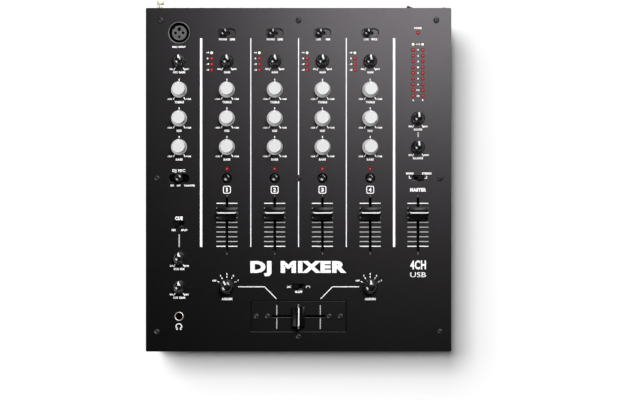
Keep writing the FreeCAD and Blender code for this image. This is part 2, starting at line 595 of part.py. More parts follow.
def make_ground_terminal():
    """The signal ground terminal: threaded post with its washer, and the stepped knurled nut."""
    x, z = GROUND
    post = peg(x, z, 2.0, REAR_INNER - 8, REAR_FACE + REAR_REACH)
    post = post.fuse([peg(x, z, 4.6, REAR_FACE, REAR_FACE + 1.4), peg(x, z, 4.2, REAR_INNER - 3, REAR_INNER)])
    nut = peg(x, z, 3.1, REAR_FACE + 4.5, REAR_FACE + 11.0)
    nut = nut.fuse(peg(x, z, 3.9, REAR_FACE + 10.2, REAR_FACE + 14.2))
    return [post, nut.cut(peg(x, z, 2.05, REAR_FACE + 2, REAR_FACE + REAR_REACH))]


# ---- electronics ----
def make_boards():
    """The main board under the controls, the socket and power boards, the transformer and a ribbon."""
    main = block(0, -4.0, 300.0, 324.0, BOARD_UNDER, BOARD_TOP)
    cuts = [disc(MIC_SOCKET[0], MIC_SOCKET[1], 13.5, BOARD_UNDER - 1, BOARD_TOP + 1)]
    cuts.append(block(PHONES_SOCKET[0], PHONES_SOCKET[1], 20.0, 22.0, BOARD_UNDER - 1, BOARD_TOP + 1))
    cuts.append(block(0, CROSSFADER_ROW, 90.0, 18.0, BOARD_UNDER - 1, BOARD_TOP + 1))
    cuts.append(disc(CENTRE_SCREW[0], CENTRE_SCREW[1], 4.2, BOARD_UNDER - 1, BOARD_TOP + 1))
    main = main.cut(Part.makeCompound(cuts))
    socket_board = plate_at_rear(-73.0, 42.0, 132.0, 32.0, REAR_FACE - 11.6, REAR_FACE - 10.0)
    power_floor = FOOT_HEIGHT + SHEET
    x, y = POWER_BOARD
    power = block(x, y, 80.0, 90.0, power_floor + 6.0, power_floor + 7.6)
    corners = [(x + dx, y + dy) for dx in (-35, 35) for dy in (-40, 40)]
    legs = [disc(leg_x, leg_y, 2.5, power_floor, power_floor + 6.0) for leg_x, leg_y in corners]
    power = power.fuse(legs)
    transformer = soft_block(x + 8.0, y - 8.0, 46.0, 40.0, power_floor + 7.6, power_floor + 40.0, 2.0)
    ribbon = block(-60.0, REAR_FACE - 18.05, 40.0, 12.9, 55.0, 55.8)
    ribbon = ribbon.fuse(block(-60.0, REAR_FACE - 24.1, 40.0, 0.8, 55.0, BOARD_UNDER))
    return [main, socket_board, power, transformer, ribbon]


def main():
    os.makedirs("parts", exist_ok=True)
    save("top_panel", make_top_panel())
    save("base_pan", make_base_pan())
    save("rear_panel", make_rear_panel())
    save("crossfader_plate", make_crossfader_plate())
    save("case_screws", make_screws())
    save("rubber_feet", make_feet())
    save("circuit_boards", make_boards())
    save("pot_bodies", make_pots())
    save("fader_frames", make_fader_frames())
    save("switch_bodies", make_switch_bodies())
    save("indicator_lamps", make_lamps())
    save("panel_sockets", make_panel_sockets())
    save("rear_sockets", make_rear_sockets())
    save("power_inlet", make_power_inlet())
    save("ground_terminal", make_ground_terminal())
    for name, x, y, kind in ROTARIES:
        save("knob_" + name, make_knob(name, x, y, kind))
    for name, x in FADERS.items():
        save(name, make_fader(x))
    save("crossfader", make_crossfader())
    for name, x in TOGGLES.items():
        save(name, make_toggle(x, TOGGLE_ROW, TOGGLE_TILT))
    save("toggle_mic", make_toggle(MIC_TOGGLE[0], MIC_TOGGLE[1], 0.0))
    for name, (x, y, side) in SLIDES.items():
        save(name, make_slide(x, y, side))
    for name, x in CUE_BUTTONS.items():
        save(name, make_button(x))
    save("power_rocker", make_rocker())


main()
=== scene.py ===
"""The looks of the mixer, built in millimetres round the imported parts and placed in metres.

X runs across the panel, Y from the front edge to the sockets at the back, and Z up. Positions on the
panel are measured from its middle.
"""

import json
import math

import bmesh
import bpy
from mathutils import Matrix, Vector


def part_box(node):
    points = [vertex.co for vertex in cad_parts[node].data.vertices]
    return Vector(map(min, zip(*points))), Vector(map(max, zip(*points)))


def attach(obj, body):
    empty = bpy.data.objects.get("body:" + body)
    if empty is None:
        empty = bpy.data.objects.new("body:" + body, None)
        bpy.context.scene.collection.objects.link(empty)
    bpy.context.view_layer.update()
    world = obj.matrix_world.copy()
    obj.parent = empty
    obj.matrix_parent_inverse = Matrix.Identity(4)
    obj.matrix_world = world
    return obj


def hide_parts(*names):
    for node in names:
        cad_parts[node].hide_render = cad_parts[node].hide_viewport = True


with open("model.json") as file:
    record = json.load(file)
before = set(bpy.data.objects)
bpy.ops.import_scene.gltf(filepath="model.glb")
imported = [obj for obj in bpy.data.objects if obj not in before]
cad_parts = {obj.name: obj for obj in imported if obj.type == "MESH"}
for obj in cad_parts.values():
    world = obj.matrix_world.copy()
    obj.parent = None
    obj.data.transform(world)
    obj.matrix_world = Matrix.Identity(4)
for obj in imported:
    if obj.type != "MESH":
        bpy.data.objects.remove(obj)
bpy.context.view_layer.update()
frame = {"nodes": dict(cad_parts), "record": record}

# ---- the frame's own measures, in millimetres ----
SCALE = 0.001
PANEL_LOW, PANEL_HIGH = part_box("top_panel")
MIDDLE_X = (PANEL_LOW.x + PANEL_HIGH.x) / 2 / SCALE
MIDDLE_Y = (PANEL_LOW.y + PANEL_HIGH.y) / 2 / SCALE
HALF_WIDTH = (PANEL_HIGH.x - PANEL_LOW.x) / 2 / SCALE
HALF_DEPTH = (PANEL_HIGH.y - PANEL_LOW.y) / 2 / SCALE
TOP = PANEL_HIGH.z / SCALE
PLATE_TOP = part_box("crossfader_plate")[1].z / SCALE
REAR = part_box("rear_panel")[1].y / SCALE - MIDDLE_Y


def spot(node):
    """The middle of a node on the panel, measured from the panel's middle."""
    low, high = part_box(node)
    middle = (low + high) / 2 / SCALE
    return middle.x - MIDDLE_X, middle.y - MIDDLE_Y


COLUMNS = {name: spot("knob_" + name + "_bass")[0] for name in ("mic", "ch1", "ch2", "ch3", "ch4")}
MIC, CH1, CH2, CH3, CH4 = COLUMNS.values()
MASTER = spot("knob_balance")[0]
CHANNELS = [CH1, CH2, CH3, CH4]
GAIN_ROW = spot("knob_ch1_gain")[1]
TONE_ROWS = {band: spot("knob_ch1_" + band.lower())[1] for band in ("TREBLE", "MID", "BASS")}
SOURCE_ROW = 154.0
SWITCH_ROW = -112.0
CROSSFADER_ROW = spot("crossfader")[1]
FADER_TOP = -24.7
FADER_MARK_PITCH = 5.0
FADER_MARKS = [FADER_TOP - FADER_MARK_PITCH * n for n in range(10)]
LAMP_PITCH = 6.0
METER_TOP = 141.8
CHANNEL_LAMPS_TOP = 133.0


# ---- materials ----
def surface(name, colour, rough, metal=0.0, grain=1400.0, relief=0.12, mottle=0.12, **sockets):
    """A material with fine grain in its relief and roughness, and a broad uneven tone."""
    material = bpy.data.materials.new(name)
    material.use_nodes = True
    tree = material.node_tree
    shader = tree.nodes["Principled BSDF"]
    shader.inputs["Metallic"].default_value = metal
    for socket, value in sockets.items():
        shader.inputs[socket.replace("_", " ")].default_value = value
    place = tree.nodes.new("ShaderNodeTexCoord")
    fine = tree.nodes.new("ShaderNodeTexNoise")
    fine.inputs["Scale"].default_value = grain
    fine.inputs["Detail"].default_value = 4.0
    broad = tree.nodes.new("ShaderNodeTexNoise")
    broad.inputs["Scale"].default_value = grain / 18
    broad.inputs["Detail"].default_value = 3.0
    for noise in (fine, broad):
        tree.links.new(place.outputs["Object"], noise.inputs["Vector"])
    tone = tree.nodes.new("ShaderNodeMix")
    tone.data_type = "RGBA"
    tone.inputs[6].default_value = [c * (1 - mottle) for c in colour] + [1]
    tone.inputs[7].default_value = [min(1, c * (1 + mottle)) for c in colour] + [1]
    tree.links.new(broad.outputs["Fac"], tone.inputs[0])
    tree.links.new(tone.outputs[2], shader.inputs["Base Color"])
    spread = tree.nodes.new("ShaderNodeMapRange")
    spread.inputs["From Min"].default_value = 0.3
    spread.inputs["From Max"].default_value = 0.7
    spread.inputs["To Min"].default_value = max(0.03, rough - 0.06)
    spread.inputs["To Max"].default_value = min(1, rough + 0.06)
    tree.links.new(fine.outputs["Fac"], spread.inputs["Value"])
    tree.links.new(spread.outputs["Result"], shader.inputs["Roughness"])
    bump = tree.nodes.new("ShaderNodeBump")
    bump.inputs["Strength"].default_value = relief
    bump.inputs["Distance"].default_value = 0.0001
    tree.links.new(fine.outputs["Fac"], bump.inputs["Height"])
    tree.links.new(bump.outputs["Normal"], shader.inputs["Normal"])
    return material


PANEL = surface(
    "panel_powder_coat",
    (0.0012, 0.0011, 0.0012),
    0.34,
    grain=1700,
    relief=0.2,
    mottle=0.3,
    Specular_Tint=(1.0, 0.93, 0.99, 1),
)
CASE = surface("case_powder_coat", (0.011, 0.011, 0.012), 0.5, grain=1500, relief=0.45, mottle=0.2)
PLATE = surface("crossfader_plate_paint", (0.0012, 0.0014, 0.0024), 0.34, grain=2400, mottle=0.25)
SCREW = surface("blackened_steel", (0.05, 0.05, 0.053), 0.48, metal=1.0, grain=1800, relief=0.2, mottle=0.3)
RUBBER = surface("foot_rubber", (0.014, 0.014, 0.014), 0.75, grain=900, relief=0.6, mottle=0.3)
BOARD = surface("board_lacquer", (0.01, 0.09, 0.03), 0.35, grain=700, relief=0.3, mottle=0.3)
ZINC = surface("zinc_plate", (0.35, 0.35, 0.34), 0.4, metal=1.0, grain=600, relief=0.15, mottle=0.2)
FRAME = surface("fader_frame_steel", (0.05, 0.05, 0.052), 0.45, metal=1.0, grain=700, relief=0.15, mottle=0.2)
SWITCH_BODY = surface("switch_body_plastic", (0.02, 0.02, 0.022), 0.45, grain=1300, relief=0.3)
STEEL = surface("satin_nickel", (0.5, 0.5, 0.51), 0.28, metal=1.0, grain=2200, relief=0.1, mottle=0.12)
BRASS = surface("plated_brass", (0.8, 0.75, 0.62), 0.32, metal=0.45, grain=1500, relief=0.12, mottle=0.15)
WHITE = surface("white_plastic", (0.6, 0.605, 0.6), 0.42, grain=1500, relief=0.1, mottle=0.03)
BLACK_TONE = (0.004, 0.004, 0.0045)
BLACK = surface("black_gloss_plastic", BLACK_TONE, 0.2, grain=1600, relief=0.04, mottle=0.15, IOR=1.9)
SATIN = surface("black_satin_plastic", BLACK_TONE, 0.3, grain=1800, relief=0.2, mottle=0.15, IOR=1.3)
SOCKET_RIM = surface("blackened_rim", (0.2, 0.2, 0.205), 0.5, metal=0.6, grain=1800, relief=0.15, mottle=0.15)
# Near-black and almost unreflecting: painted shade for socket insides and the mic toggle's slot, darker than
# their plastic.
PAINTED_SHADE_BLACK = surface("painted_shade_recess", (0.0016, 0.0016, 0.0018), 0.7, grain=1200, relief=0.2, mottle=0.2, IOR=1.08)
DARK = surface("socket_plastic", (0.006, 0.006, 0.0065), 0.42, grain=1200, relief=0.2, mottle=0.2)
GREY = surface("grey_insert_plastic", (0.075, 0.073, 0.075), 0.42, grain=1200, relief=0.2, mottle=0.12)
RED = surface("red_insulator", (0.5, 0.012, 0.012), 0.38, grain=1200, relief=0.15, mottle=0.1)
IVORY = surface("white_insulator", (0.62, 0.62, 0.6), 0.38, grain=1200, relief=0.15, mottle=0.05)
INK = surface("white_ink", (0.95, 0.95, 0.95), 0.6, grain=2600, relief=0.1, mottle=0.03)
GREY_INK = surface("grey_ink", (0.42, 0.42, 0.42), 0.55, grain=2600, relief=0.1, mottle=0.05)
# The red lenses glow faintly: painted light, not a lit lamp.
LAMP_RED = surface(
    "red_lens",
    (0.17, 0.005, 0.006),
    0.35,
    grain=900,
    relief=0.03,
    mottle=0.1,
    Emission_Color=(0.9, 0.03, 0.03, 1),
    Emission_Strength=0.02,
    IOR=1.15,
)
# Paler red with a glow for the middle of each red lens: a painted highlight.
LAMP_PAINTED_HIGHLIGHT = surface(
    "red_lens_painted_highlight",
    (0.6, 0.07, 0.07),
    0.3,
    grain=900,
    relief=0.03,
    mottle=0.08,
    Emission_Color=(1.0, 0.16, 0.16, 1),
    Emission_Strength=0.12,
    IOR=1.3,
)
LAMP_PALE = surface(
    "pale_lens",
    (0.85, 0.84, 0.66),
    0.16,
    grain=900,
    relief=0.03,
    mottle=0.04,
    Emission_Color=(1.0, 0.99, 0.8, 1),
    Emission_Strength=0.5,
    Coat_Weight=0.6,
)


# ---- mesh building ----
def circle(x, y, radius, count=40):
    """Points round a circle."""
    turns = [math.tau * n / count for n in range(count)]
    return [(x + radius * math.cos(a), y + radius * math.sin(a)) for a in turns]


def rounded_rectangle(x, y, width, depth, radius, count=6):
    """Points round a rectangle with rounded corners."""
    points = []
    for quarter, (side_x, side_y) in enumerate([(1, 1), (-1, 1), (-1, -1), (1, -1)]):
        centre_x = x + side_x * (width / 2 - radius)
        centre_y = y + side_y * (depth / 2 - radius)
        for n in range(count + 1):
            a = math.pi / 2 * (quarter + n / count)
            points.append((centre_x + radius * math.cos(a), centre_y + radius * math.sin(a)))
    return points


def softened(points, radius, steps=4):
    """An open line with its inner corners rounded."""
    line = [Vector(p) for p in points]
    out = [line[0]]
    for before, corner, after in zip(line, line[1:], line[2:]):
        reach_in = min(radius, (before - corner).length * 0.45)
        reach_out = min(radius, (after - corner).length * 0.45)
        start = corner + (before - corner).normalized() * reach_in
        end = corner + (after - corner).normalized() * reach_out
        for n in range(steps + 1):
            t = n / steps
            out.append(start * (1 - t) ** 2 + corner * 2 * t * (1 - t) + end * t**2)
    return out + [line[-1]]


SHARP_ANGLE = 0.5


class Piece:
    """The faces of one piece, in millimetres from the panel's middle, each with a material number."""

    def __init__(self, name, *materials):
        self.name = name
        self.materials = materials
        self.points = []
        self.faces = []
        self.marks = []
        self.flat = []

    def add(self, points, faces, mark=0, place=None, flat=False):
        start = len(self.points)
        points = [Vector(p) for p in points]
        self.points += [place @ p for p in points] if place else points
        self.faces += [[start + n for n in face] for face in faces]
        self.marks += [mark] * len(faces)
        self.flat += [flat] * len(faces)

    def lathe(self, profile, x=0.0, y=0.0, mark=0, count=48, place=None):
        """Turns a line of (radius, height) points round an upright axis."""
        points, rings = [], []
        for radius, height in profile:
            if radius < 1e-6:
                rings.append([len(points)])
                points.append((x, y, height))
            else:
                rings.append(list(range(len(points), len(points) + count)))
                points += [(px, py, height) for px, py in circle(x, y, radius, count)]
        faces = []
        for low, high in zip(rings, rings[1:]):
            for n in range(count):
                m = (n + 1) % count
                if len(low) == 1 and len(high) == 1:
                    continue
                if len(low) == 1:
                    faces.append([low[0], high[m], high[n]])
                elif len(high) == 1:
                    faces.append([low[n], low[m], high[0]])
                else:
                    faces.append([low[n], low[m], high[m], high[n]])
        self.add(points, faces, mark, place)

    def rings(self, outlines, heights, mark=0, place=None):
        """Joins equal outlines at rising heights into a closed solid."""
        count = len(outlines[0])
        points = [(x, y, z) for outline, z in zip(outlines, heights) for x, y in outline]
        faces = [list(range(count))[::-1], list(range(len(points) - count, len(points)))]
        for level in range(len(outlines) - 1):
            base = level * count
            for n in range(count):
                m = (n + 1) % count
                faces.append([base + n, base + m, base + count + m, base + count + n])
        self.add(points, faces, mark, place)

    def box(self, x, y, width, depth, low, high, mark=0, radius=0.3, edge=0.2, place=None):
        """An upright block with rounded corners and softened top and bottom edges."""
        radius = min(radius, width / 2 - 0.01, depth / 2 - 0.01)
        full = rounded_rectangle(x, y, width, depth, radius, 4)
        inset = rounded_rectangle(x, y, width - 2 * edge, depth - 2 * edge, max(0.02, radius - edge), 4)
        self.rings([inset, full, full, inset], [low, low + edge, high - edge, high], mark, place)

    def slab(self, x, y, width, depth, low, high, mark=0, turn=0.0):
        """A plain thin block, turned about its middle by so many degrees."""
        reach_x, reach_y = width / 2, depth / 2
        corners = [(-reach_x, -reach_y), (reach_x, -reach_y), (reach_x, reach_y), (-reach_x, reach_y)]
        c, s = math.cos(math.radians(turn)), math.sin(math.radians(turn))
        outline = [(x + px * c - py * s, y + px * s + py * c) for px, py in corners]
        self.rings([outline, outline], [low, high], mark)

    def across(self, loop, reach, mark=0, place=None):
        """Draws an outline of (back, height) points out to each side along X."""
        count = len(loop)
        points = [(side * reach, back, height) for side in (-1, 1) for back, height in loop]
        faces = [list(range(count))[::-1], list(range(count, 2 * count))]
        faces += [[n, (n + 1) % count, count + (n + 1) % count, count + n] for n in range(count)]
        self.add(points, faces, mark, place)

    def move(self, matrix):
        """Turns or shifts everything made so far."""
        self.points = [matrix @ p for p in self.points]

    def sheet(self, outline, holes, low, high, edge=0.2, mark=0, place=None):
        """A flat sheet with holes, its edges softened all round."""
        curve = bpy.data.curves.new("outline", "CURVE")
        curve.dimensions = "2D"
        curve.fill_mode = "BOTH"
        curve.extrude = (high - low) / 2 - edge
        curve.bevel_depth = edge
        curve.bevel_resolution = 1
        curve.offset = -edge
        for points in [outline] + [hole[::-1] for hole in holes]:
            spline = curve.splines.new("POLY")
            spline.points.add(len(points) - 1)
            for target, (px, py) in zip(spline.points, points):
                target.co = (px, py, 0, 1)
            spline.use_cyclic_u = True
        holder = bpy.data.objects.new("outline", curve)
        mesh = bpy.data.meshes.new_from_object(holder)
        middle = (low + high) / 2
        points = [(v.co.x, v.co.y, v.co.z + middle) for v in mesh.vertices]
        level = [abs(p.normal.z) > 0.999 for p in mesh.polygons]
        start = len(self.flat)
        self.add(points, [list(p.vertices) for p in mesh.polygons], mark, place)
        self.flat[start:] = level
        bpy.data.objects.remove(holder)
        bpy.data.curves.remove(curve)
        bpy.data.meshes.remove(mesh)

    def text(self, words, x, y, width, height, low=None, high=None, weight=0.0, mark=0, place=None):
        """Words set to a given width and height, centred on a point."""
        low = TOP - 0.02 if low is None else low
        high = TOP + 0.05 if high is None else high
        curve = bpy.data.curves.new("words", "FONT")
        curve.body = words
        curve.size = 10.0
        curve.extrude = 0.5
        curve.offset = weight
        curve.space_character = 1.0 + weight / 4
        curve.resolution_u = 3
        holder = bpy.data.objects.new("words", curve)
        mesh = bpy.data.meshes.new_from_object(holder)
        xs = [v.co.x for v in mesh.vertices]
        ys = [v.co.y for v in mesh.vertices]
        wide, tall = max(xs) - min(xs), max(ys) - min(ys)
        points = []
        for v in mesh.vertices:
            px = x + ((v.co.x - min(xs)) / wide - 0.5) * width
            py = y + ((v.co.y - min(ys)) / tall - 0.5) * height
            points.append((px, py, low + (v.co.z + 0.5) * (high - low)))
        self.add(points, [list(p.vertices) for p in mesh.polygons], mark, place, flat=True)
        bpy.data.objects.remove(holder)
        bpy.data.curves.remove(curve)
        bpy.data.meshes.remove(mesh)

    def build(self, body, slot, *nodes, bevel=0.0, at=(0.0, 0.0, 0.0)):
        """Makes the piece an object that rides on a body and stands for the nodes."""
        form = bmesh.new()
        verts = [form.verts.new(p * SCALE) for p in self.points]
        for corners, mark, flat in zip(self.faces, self.marks, self.flat):
            try:
                face = form.faces.new([verts[n] for n in corners])
            except ValueError:
                continue
            face.material_index = mark
            face.smooth = not flat
        bmesh.ops.remove_doubles(form, verts=form.verts, dist=1e-7)
        bmesh.ops.recalc_face_normals(form, faces=form.faces)
        if bevel:
            sharp = [e for e in form.edges if len(e.link_faces) == 2 and e.calc_face_angle(0) > SHARP_ANGLE]
            bmesh.ops.bevel(
                form,
                geom=sharp,
                offset=bevel * SCALE,
                segments=2,
                profile=0.5,
                affect="EDGES",
                clamp_overlap=True,
            )
        mesh = bpy.data.meshes.new(self.name)
        form.to_mesh(mesh)
        form.free()
        for material in self.materials:
            mesh.materials.append(material)
        smooth = [p.use_smooth for p in mesh.polygons]
        mesh.set_sharp_from_angle(angle=math.radians(34))
        mesh.polygons.foreach_set("use_smooth", smooth)
        item = bpy.data.objects.new(self.name, mesh)
        bpy.context.scene.collection.objects.link(item)
        item.location = Vector((MIDDLE_X, MIDDLE_Y, 0)) * SCALE + Vector(at) * SCALE
        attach(item, body)
        if nodes:
            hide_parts(*nodes)
        return item


# Takes (across, up, out from the rear face) to the case, and words read from behind to the rear face.
BACKWARDS = Matrix(((1, 0, 0, 0), (0, 0, 1, REAR), (0, 1, 0, 0), (0, 0, 0, 1)))
READ_BEHIND = Matrix(((-1, 0, 0, 0), (0, 0, 1, REAR), (0, 1, 0, 0), (0, 0, 0, 1)))


# ---- the case ----
def oblong(x, y, width, depth):
    """Points round a slot with round ends."""
    return rounded_rectangle(x, y, width, depth, depth / 2 - 0.001, 10)


ROTARIES = sorted(n for n in frame["nodes"] if n.startswith("knob_"))
FADERS = ["fader_ch1", "fader_ch2", "fader_ch3", "fader_ch4", "fader_master"]
FADER_SLOT = (FADER_MARKS[0] + FADER_MARKS[-1]) / 2
SLIDES = {
    "cue_split_switch": (MIC, -46.5),
    "mono_stereo_switch": (MASTER, 1.8),
    "slope_switch": (0.0, SWITCH_ROW),
}
CUE_BUTTONS = {f"cue_button_{n + 1}": x for n, x in enumerate(CHANNELS)}
CUE_ROW = spot("cue_button_1")[1]
MIC_TOGGLE_ROW = spot("toggle_mic")[1]
CENTRE_SCREW = (0.0, 1.7)
PANEL_SCREWS = [(0.0, 167.0), CENTRE_SCREW, (0.0, -164.3)]
for side in (-1, 1):
    PANEL_SCREWS += [(side * 144.2, 167.0), (side * 148.2, 1.7), (side * 148.2, -159.0)]
CROSSFADER_SCREWS = (-44.0, -32.3, 32.3, 44.0)
RED_LAMPS = [(MASTER, SOURCE_ROW)]
PALE_LAMPS = []
for level in range(10):
    lamps = RED_LAMPS if level else PALE_LAMPS
    lamps += [(MASTER + side * 5, METER_TOP - LAMP_PITCH * level) for side in (-1, 1)]
for column in CHANNELS:
    for level in range(4):
        (RED_LAMPS if level else PALE_LAMPS).append((column - 16, CHANNEL_LAMPS_TOP - LAMP_PITCH * level))
    RED_LAMPS.append((column, 11.4))


def make_panel():
    """The control panel, a sheet with every opening softened at its edge."""
    panel = Piece("control_panel", PANEL)
    holes = [circle(*spot(name), 3.8, 32) for name in ROTARIES]
    holes += [circle(x, y, 1.6, 24) for x, y in RED_LAMPS + PALE_LAMPS]
    holes += [circle(x, y, 1.7, 20) for x, y in PANEL_SCREWS]
    holes += [circle(x, CUE_ROW, 5.0, 40) for x in CHANNELS]
    holes += [oblong(x, SOURCE_ROW, 17.8, 8.4) for x in CHANNELS]
    holes.append(oblong(MIC, MIC_TOGGLE_ROW, 21.0, 8.4))
    holes += [rounded_rectangle(x, y, 11.8, 5.6, 0.5, 4) for x, y in SLIDES.values()]
    holes += [rounded_rectangle(spot(name)[0], FADER_SLOT, 2.2, 56.5, 0.4, 3) for name in FADERS]
    holes += [circle(MIC, SOURCE_ROW, 11.7, 56), circle(MIC, CROSSFADER_ROW, 4.3, 32)]
    holes.append(rounded_rectangle(0, CROSSFADER_ROW, 99.8, 32.2, 0.7, 4))
    outline = rounded_rectangle(0, 0, 2 * HALF_WIDTH, 2 * HALF_DEPTH, 1.5, 6)
    panel.sheet(outline, holes, TOP - 2.0, TOP, edge=0.35)
    for side in (-1, 1):
        panel.box(side * 50.0, CROSSFADER_ROW, 18.0, 34.0, PLATE_TOP - 2.7, PLATE_TOP - 1.5, edge=0.1)
    panel.build("chassis", "panel_paint", "top_panel")
    plate = Piece("crossfader_cover", PLATE)
    holes = [rounded_rectangle(0, CROSSFADER_ROW, 56.0, 2.2, 0.4, 3)]
    holes += [circle(x, CROSSFADER_ROW, 1.7, 20) for x in CROSSFADER_SCREWS]
    outline = rounded_rectangle(0, CROSSFADER_ROW, 99.0, 31.4, 0.8, 4)
    plate.sheet(outline, holes, PLATE_TOP - 1.5, PLATE_TOP, edge=0.3)
    plate.build("chassis", "plate_paint", "crossfader_plate")


def dress_nodes():
    """Gives the CAD nodes that stay their materials and softened edges."""
    finishes = {
        "base_pan": CASE,
        "rear_panel": CASE,
        "case_screws": SCREW,
        "rubber_feet": RUBBER,
        "circuit_boards": BOARD,
        "pot_bodies": ZINC,
        "fader_frames": FRAME,
        "switch_bodies": SWITCH_BODY,
    }
    for name, material in finishes.items():
        node = frame["nodes"][name]
        node.data.materials.clear()
        node.data.materials.append(material)
    for name in ("base_pan", "rear_panel"):
        node = frame["nodes"][name]
        weld = node.modifiers.new("weld", "WELD")
        weld.merge_threshold = 1e-6
        rounded = node.modifiers.new("softened_edges", "BEVEL")
        rounded.width = 0.3 * SCALE
        rounded.segments = 2
        rounded.limit_method = "ANGLE"
        rounded.harden_normals = True
        rounded.angle_limit = math.radians(50)


# ---- printed marks ----
PRINT_LOW, PRINT_HIGH = TOP - 0.02, TOP + 0.05
LINE_FRONT, LINE_BACK = -70.4, 148.2
THICK_LINE, THIN_LINE = 2.4, 0.95
TICK_WIDTH = 0.9


def make_marks():
    """Everything printed on the panel: names, numbers, scales and lines."""
    white = Piece("white_print", INK)
    grey = Piece("grey_print", GREY_INK)

    def word(words, x, y, width, height, weight=0.7):
        white.text(words, x, y, width, height, weight=weight)

    def line(piece, x1, y1, x2, y2, width):
        length = math.hypot(x2 - x1, y2 - y1)
        turn = math.degrees(math.atan2(y2 - y1, x2 - x1))
        piece.slab((x1 + x2) / 2, (y1 + y2) / 2, length, width, PRINT_LOW, PRINT_HIGH, turn=turn)

    def ray(piece, x, y, angle, inner, outer, width):
        """A tick pointing away from a knob, its angle clockwise from the back."""
        s, c = math.sin(math.radians(angle)), math.cos(math.radians(angle))
        line(piece, x + inner * s, y + inner * c, x + outer * s, y + outer * c, width)

    # long lines between the columns
    for x in (-102.0, 100.0):
        line(white, x, LINE_FRONT, x, LINE_BACK, THICK_LINE)
    for x in (-50.0, 50.0):
        line(white, x, LINE_FRONT, x, LINE_BACK, THIN_LINE)
    line(white, 0.0, LINE_FRONT, 0.0, -1.7, THIN_LINE)
    line(white, 0.0, 5.1, 0.0, LINE_BACK, THIN_LINE)

    # microphone and source rows
    word("MIC1 INPUT", MIC - 0.2, 139.0, 13.9, 2.0)
    sources = [("PHONO", 8.2, "LINE", 5.2), ("PHONO", 8.2, "LINE", 5.2)]
    sources += [("LINE", 5.0, "USB", 4.6), ("LINE", 5.0, "MIC2", 6.0)]
    for x, (first, first_width, second, second_width) in zip(CHANNELS, sources):
        word(first, x - 4.2, 147.0, first_width, 2.3)
        word(second, x + (4.4 if second == "MIC2" else 5.8), 147.0, second_width, 2.3)
    word("POWER", MASTER + 0.2, 158.8, 8.0, 1.9)

    # level lamps
    for level, number in enumerate(["+12", "9", "6", "3", "1", "0", "3", "6", "10", "20"]):
        word(number, MASTER + 0.1, METER_TOP - LAMP_PITCH * level, 1.5 * len(number), 1.8, 0.45)
    word("L", MASTER - 4.7, 83.4, 1.3, 1.9)
    word("R", MASTER + 5.1, 83.4, 1.6, 1.9)
    for x in CHANNELS:
        for level, number in enumerate(["+9", "0", "-9", "-18"]):
            width = min(2.9, 1.5 * len(number))
            word(number, x - 20.2, CHANNEL_LAMPS_TOP - LAMP_PITCH * level, width, 1.9, 0.45)

    # knobs
    def end_ticks(x, y, inner, outer):
        for angle in (-148, 148):
            ray(white, x, y, angle, inner, outer, TICK_WIDTH)

    gains = [(MIC, GAIN_ROW, "MIC GAIN", 12.5, "MIN", "MAX")]
    gains += [(x, GAIN_ROW, "GAIN", 6.5, "MIN", "MAX") for x in CHANNELS]
    gains.append((*spot("knob_booth_level"), "BOOTH", 8.6, "MIN", "MAX"))
    gains.append((*spot("knob_balance"), "BALANCE", 10.4, "LEFT", "RIGHT"))
    gains.append((*spot("knob_cue_mix"), "CUE MIX", 11.4, "CUE", "PGM"))
    gains.append((*spot("knob_cue_gain"), "CUE GAIN", 12.5, "MIN", "MAX"))
    for x, y, name, width, least, most in gains:
        end_ticks(x, y, 8.0, 11.2)
        word(least, x - 8.1, y - 8.2, 3.4, 1.75)
        word(most, x + (9.0 if most == "RIGHT" else 8.1), y - 8.2, 5.0 if most == "RIGHT" else 4.1, 1.75)
        word(name, x, y - 11.5, width, 2.3)
    for x in [MIC] + CHANNELS:
        for name, y in TONE_ROWS.items():
            ray(white, x, y, 0, 9.5, 11.8, 1.0)
            end_ticks(x, y, 8.9, 12.0)
            word("-12dB", x - 9.9, y - 9.5, 4.9, 1.75)
            word("+12dB", x + 9.9, y - 9.5, 5.2, 1.75)
            word(name, x, y - 12.8, {"TREBLE": 9.6, "MID": 5.2, "BASS": 7.2}[name], 2.4)

    # switches and cue buttons
    word("DJ MIC", MIC - 0.3, 9.1, 13.4, 3.8, 0.4)
    for name, x, width in (("ON", -132.5, 3.6), ("OFF", -125.6, 3.9), ("TALKOVER", -114.2, 11.4)):
        word(name, x, -6.1, width, 2.0)
    word("CUE", MIC - 0.3, -40.4, 8.0, 3.9)
    word("MIX", -130.6, -52.8, 4.4, 2.0)
    word("SPLIT", -119.6, -52.8, 6.5, 2.0)
    line(grey, MIC, -57.1, MIC, LINE_FRONT, 1.4)
    line(grey, MASTER + 0.2, 44.6, MASTER + 0.2, 49.6, 1.4)
    word("MONO", MASTER - 8.5, 6.5, 7.8, 2.3)
    word("STEREO", MASTER + 9.3, 6.5, 10.0, 2.3)
    for side in (-1, 1):
        line(white, MASTER + side * 9.1, 4.0, MASTER + side * 9.1, 1.0, TICK_WIDTH)
        line(white, MASTER + side * 9.5, 1.4, MASTER + side * 7.2, 1.4, TICK_WIDTH)
    word("MASTER", MASTER + 0.2, -10.6, 16.8, 3.9)
    for n, x in enumerate(CHANNELS):
        box = rounded_rectangle(x, -10.5, 8.2, 8.2, 1.9, 5)
        room = rounded_rectangle(x, -10.5, 6.4, 6.4, 1.1, 5)
        white.sheet(box, [room], PRINT_LOW, PRINT_HIGH, edge=0.001)
        word(str(n + 1), x, -10.5, 1.7 if n == 0 else 2.9, 4.2, 0.5)

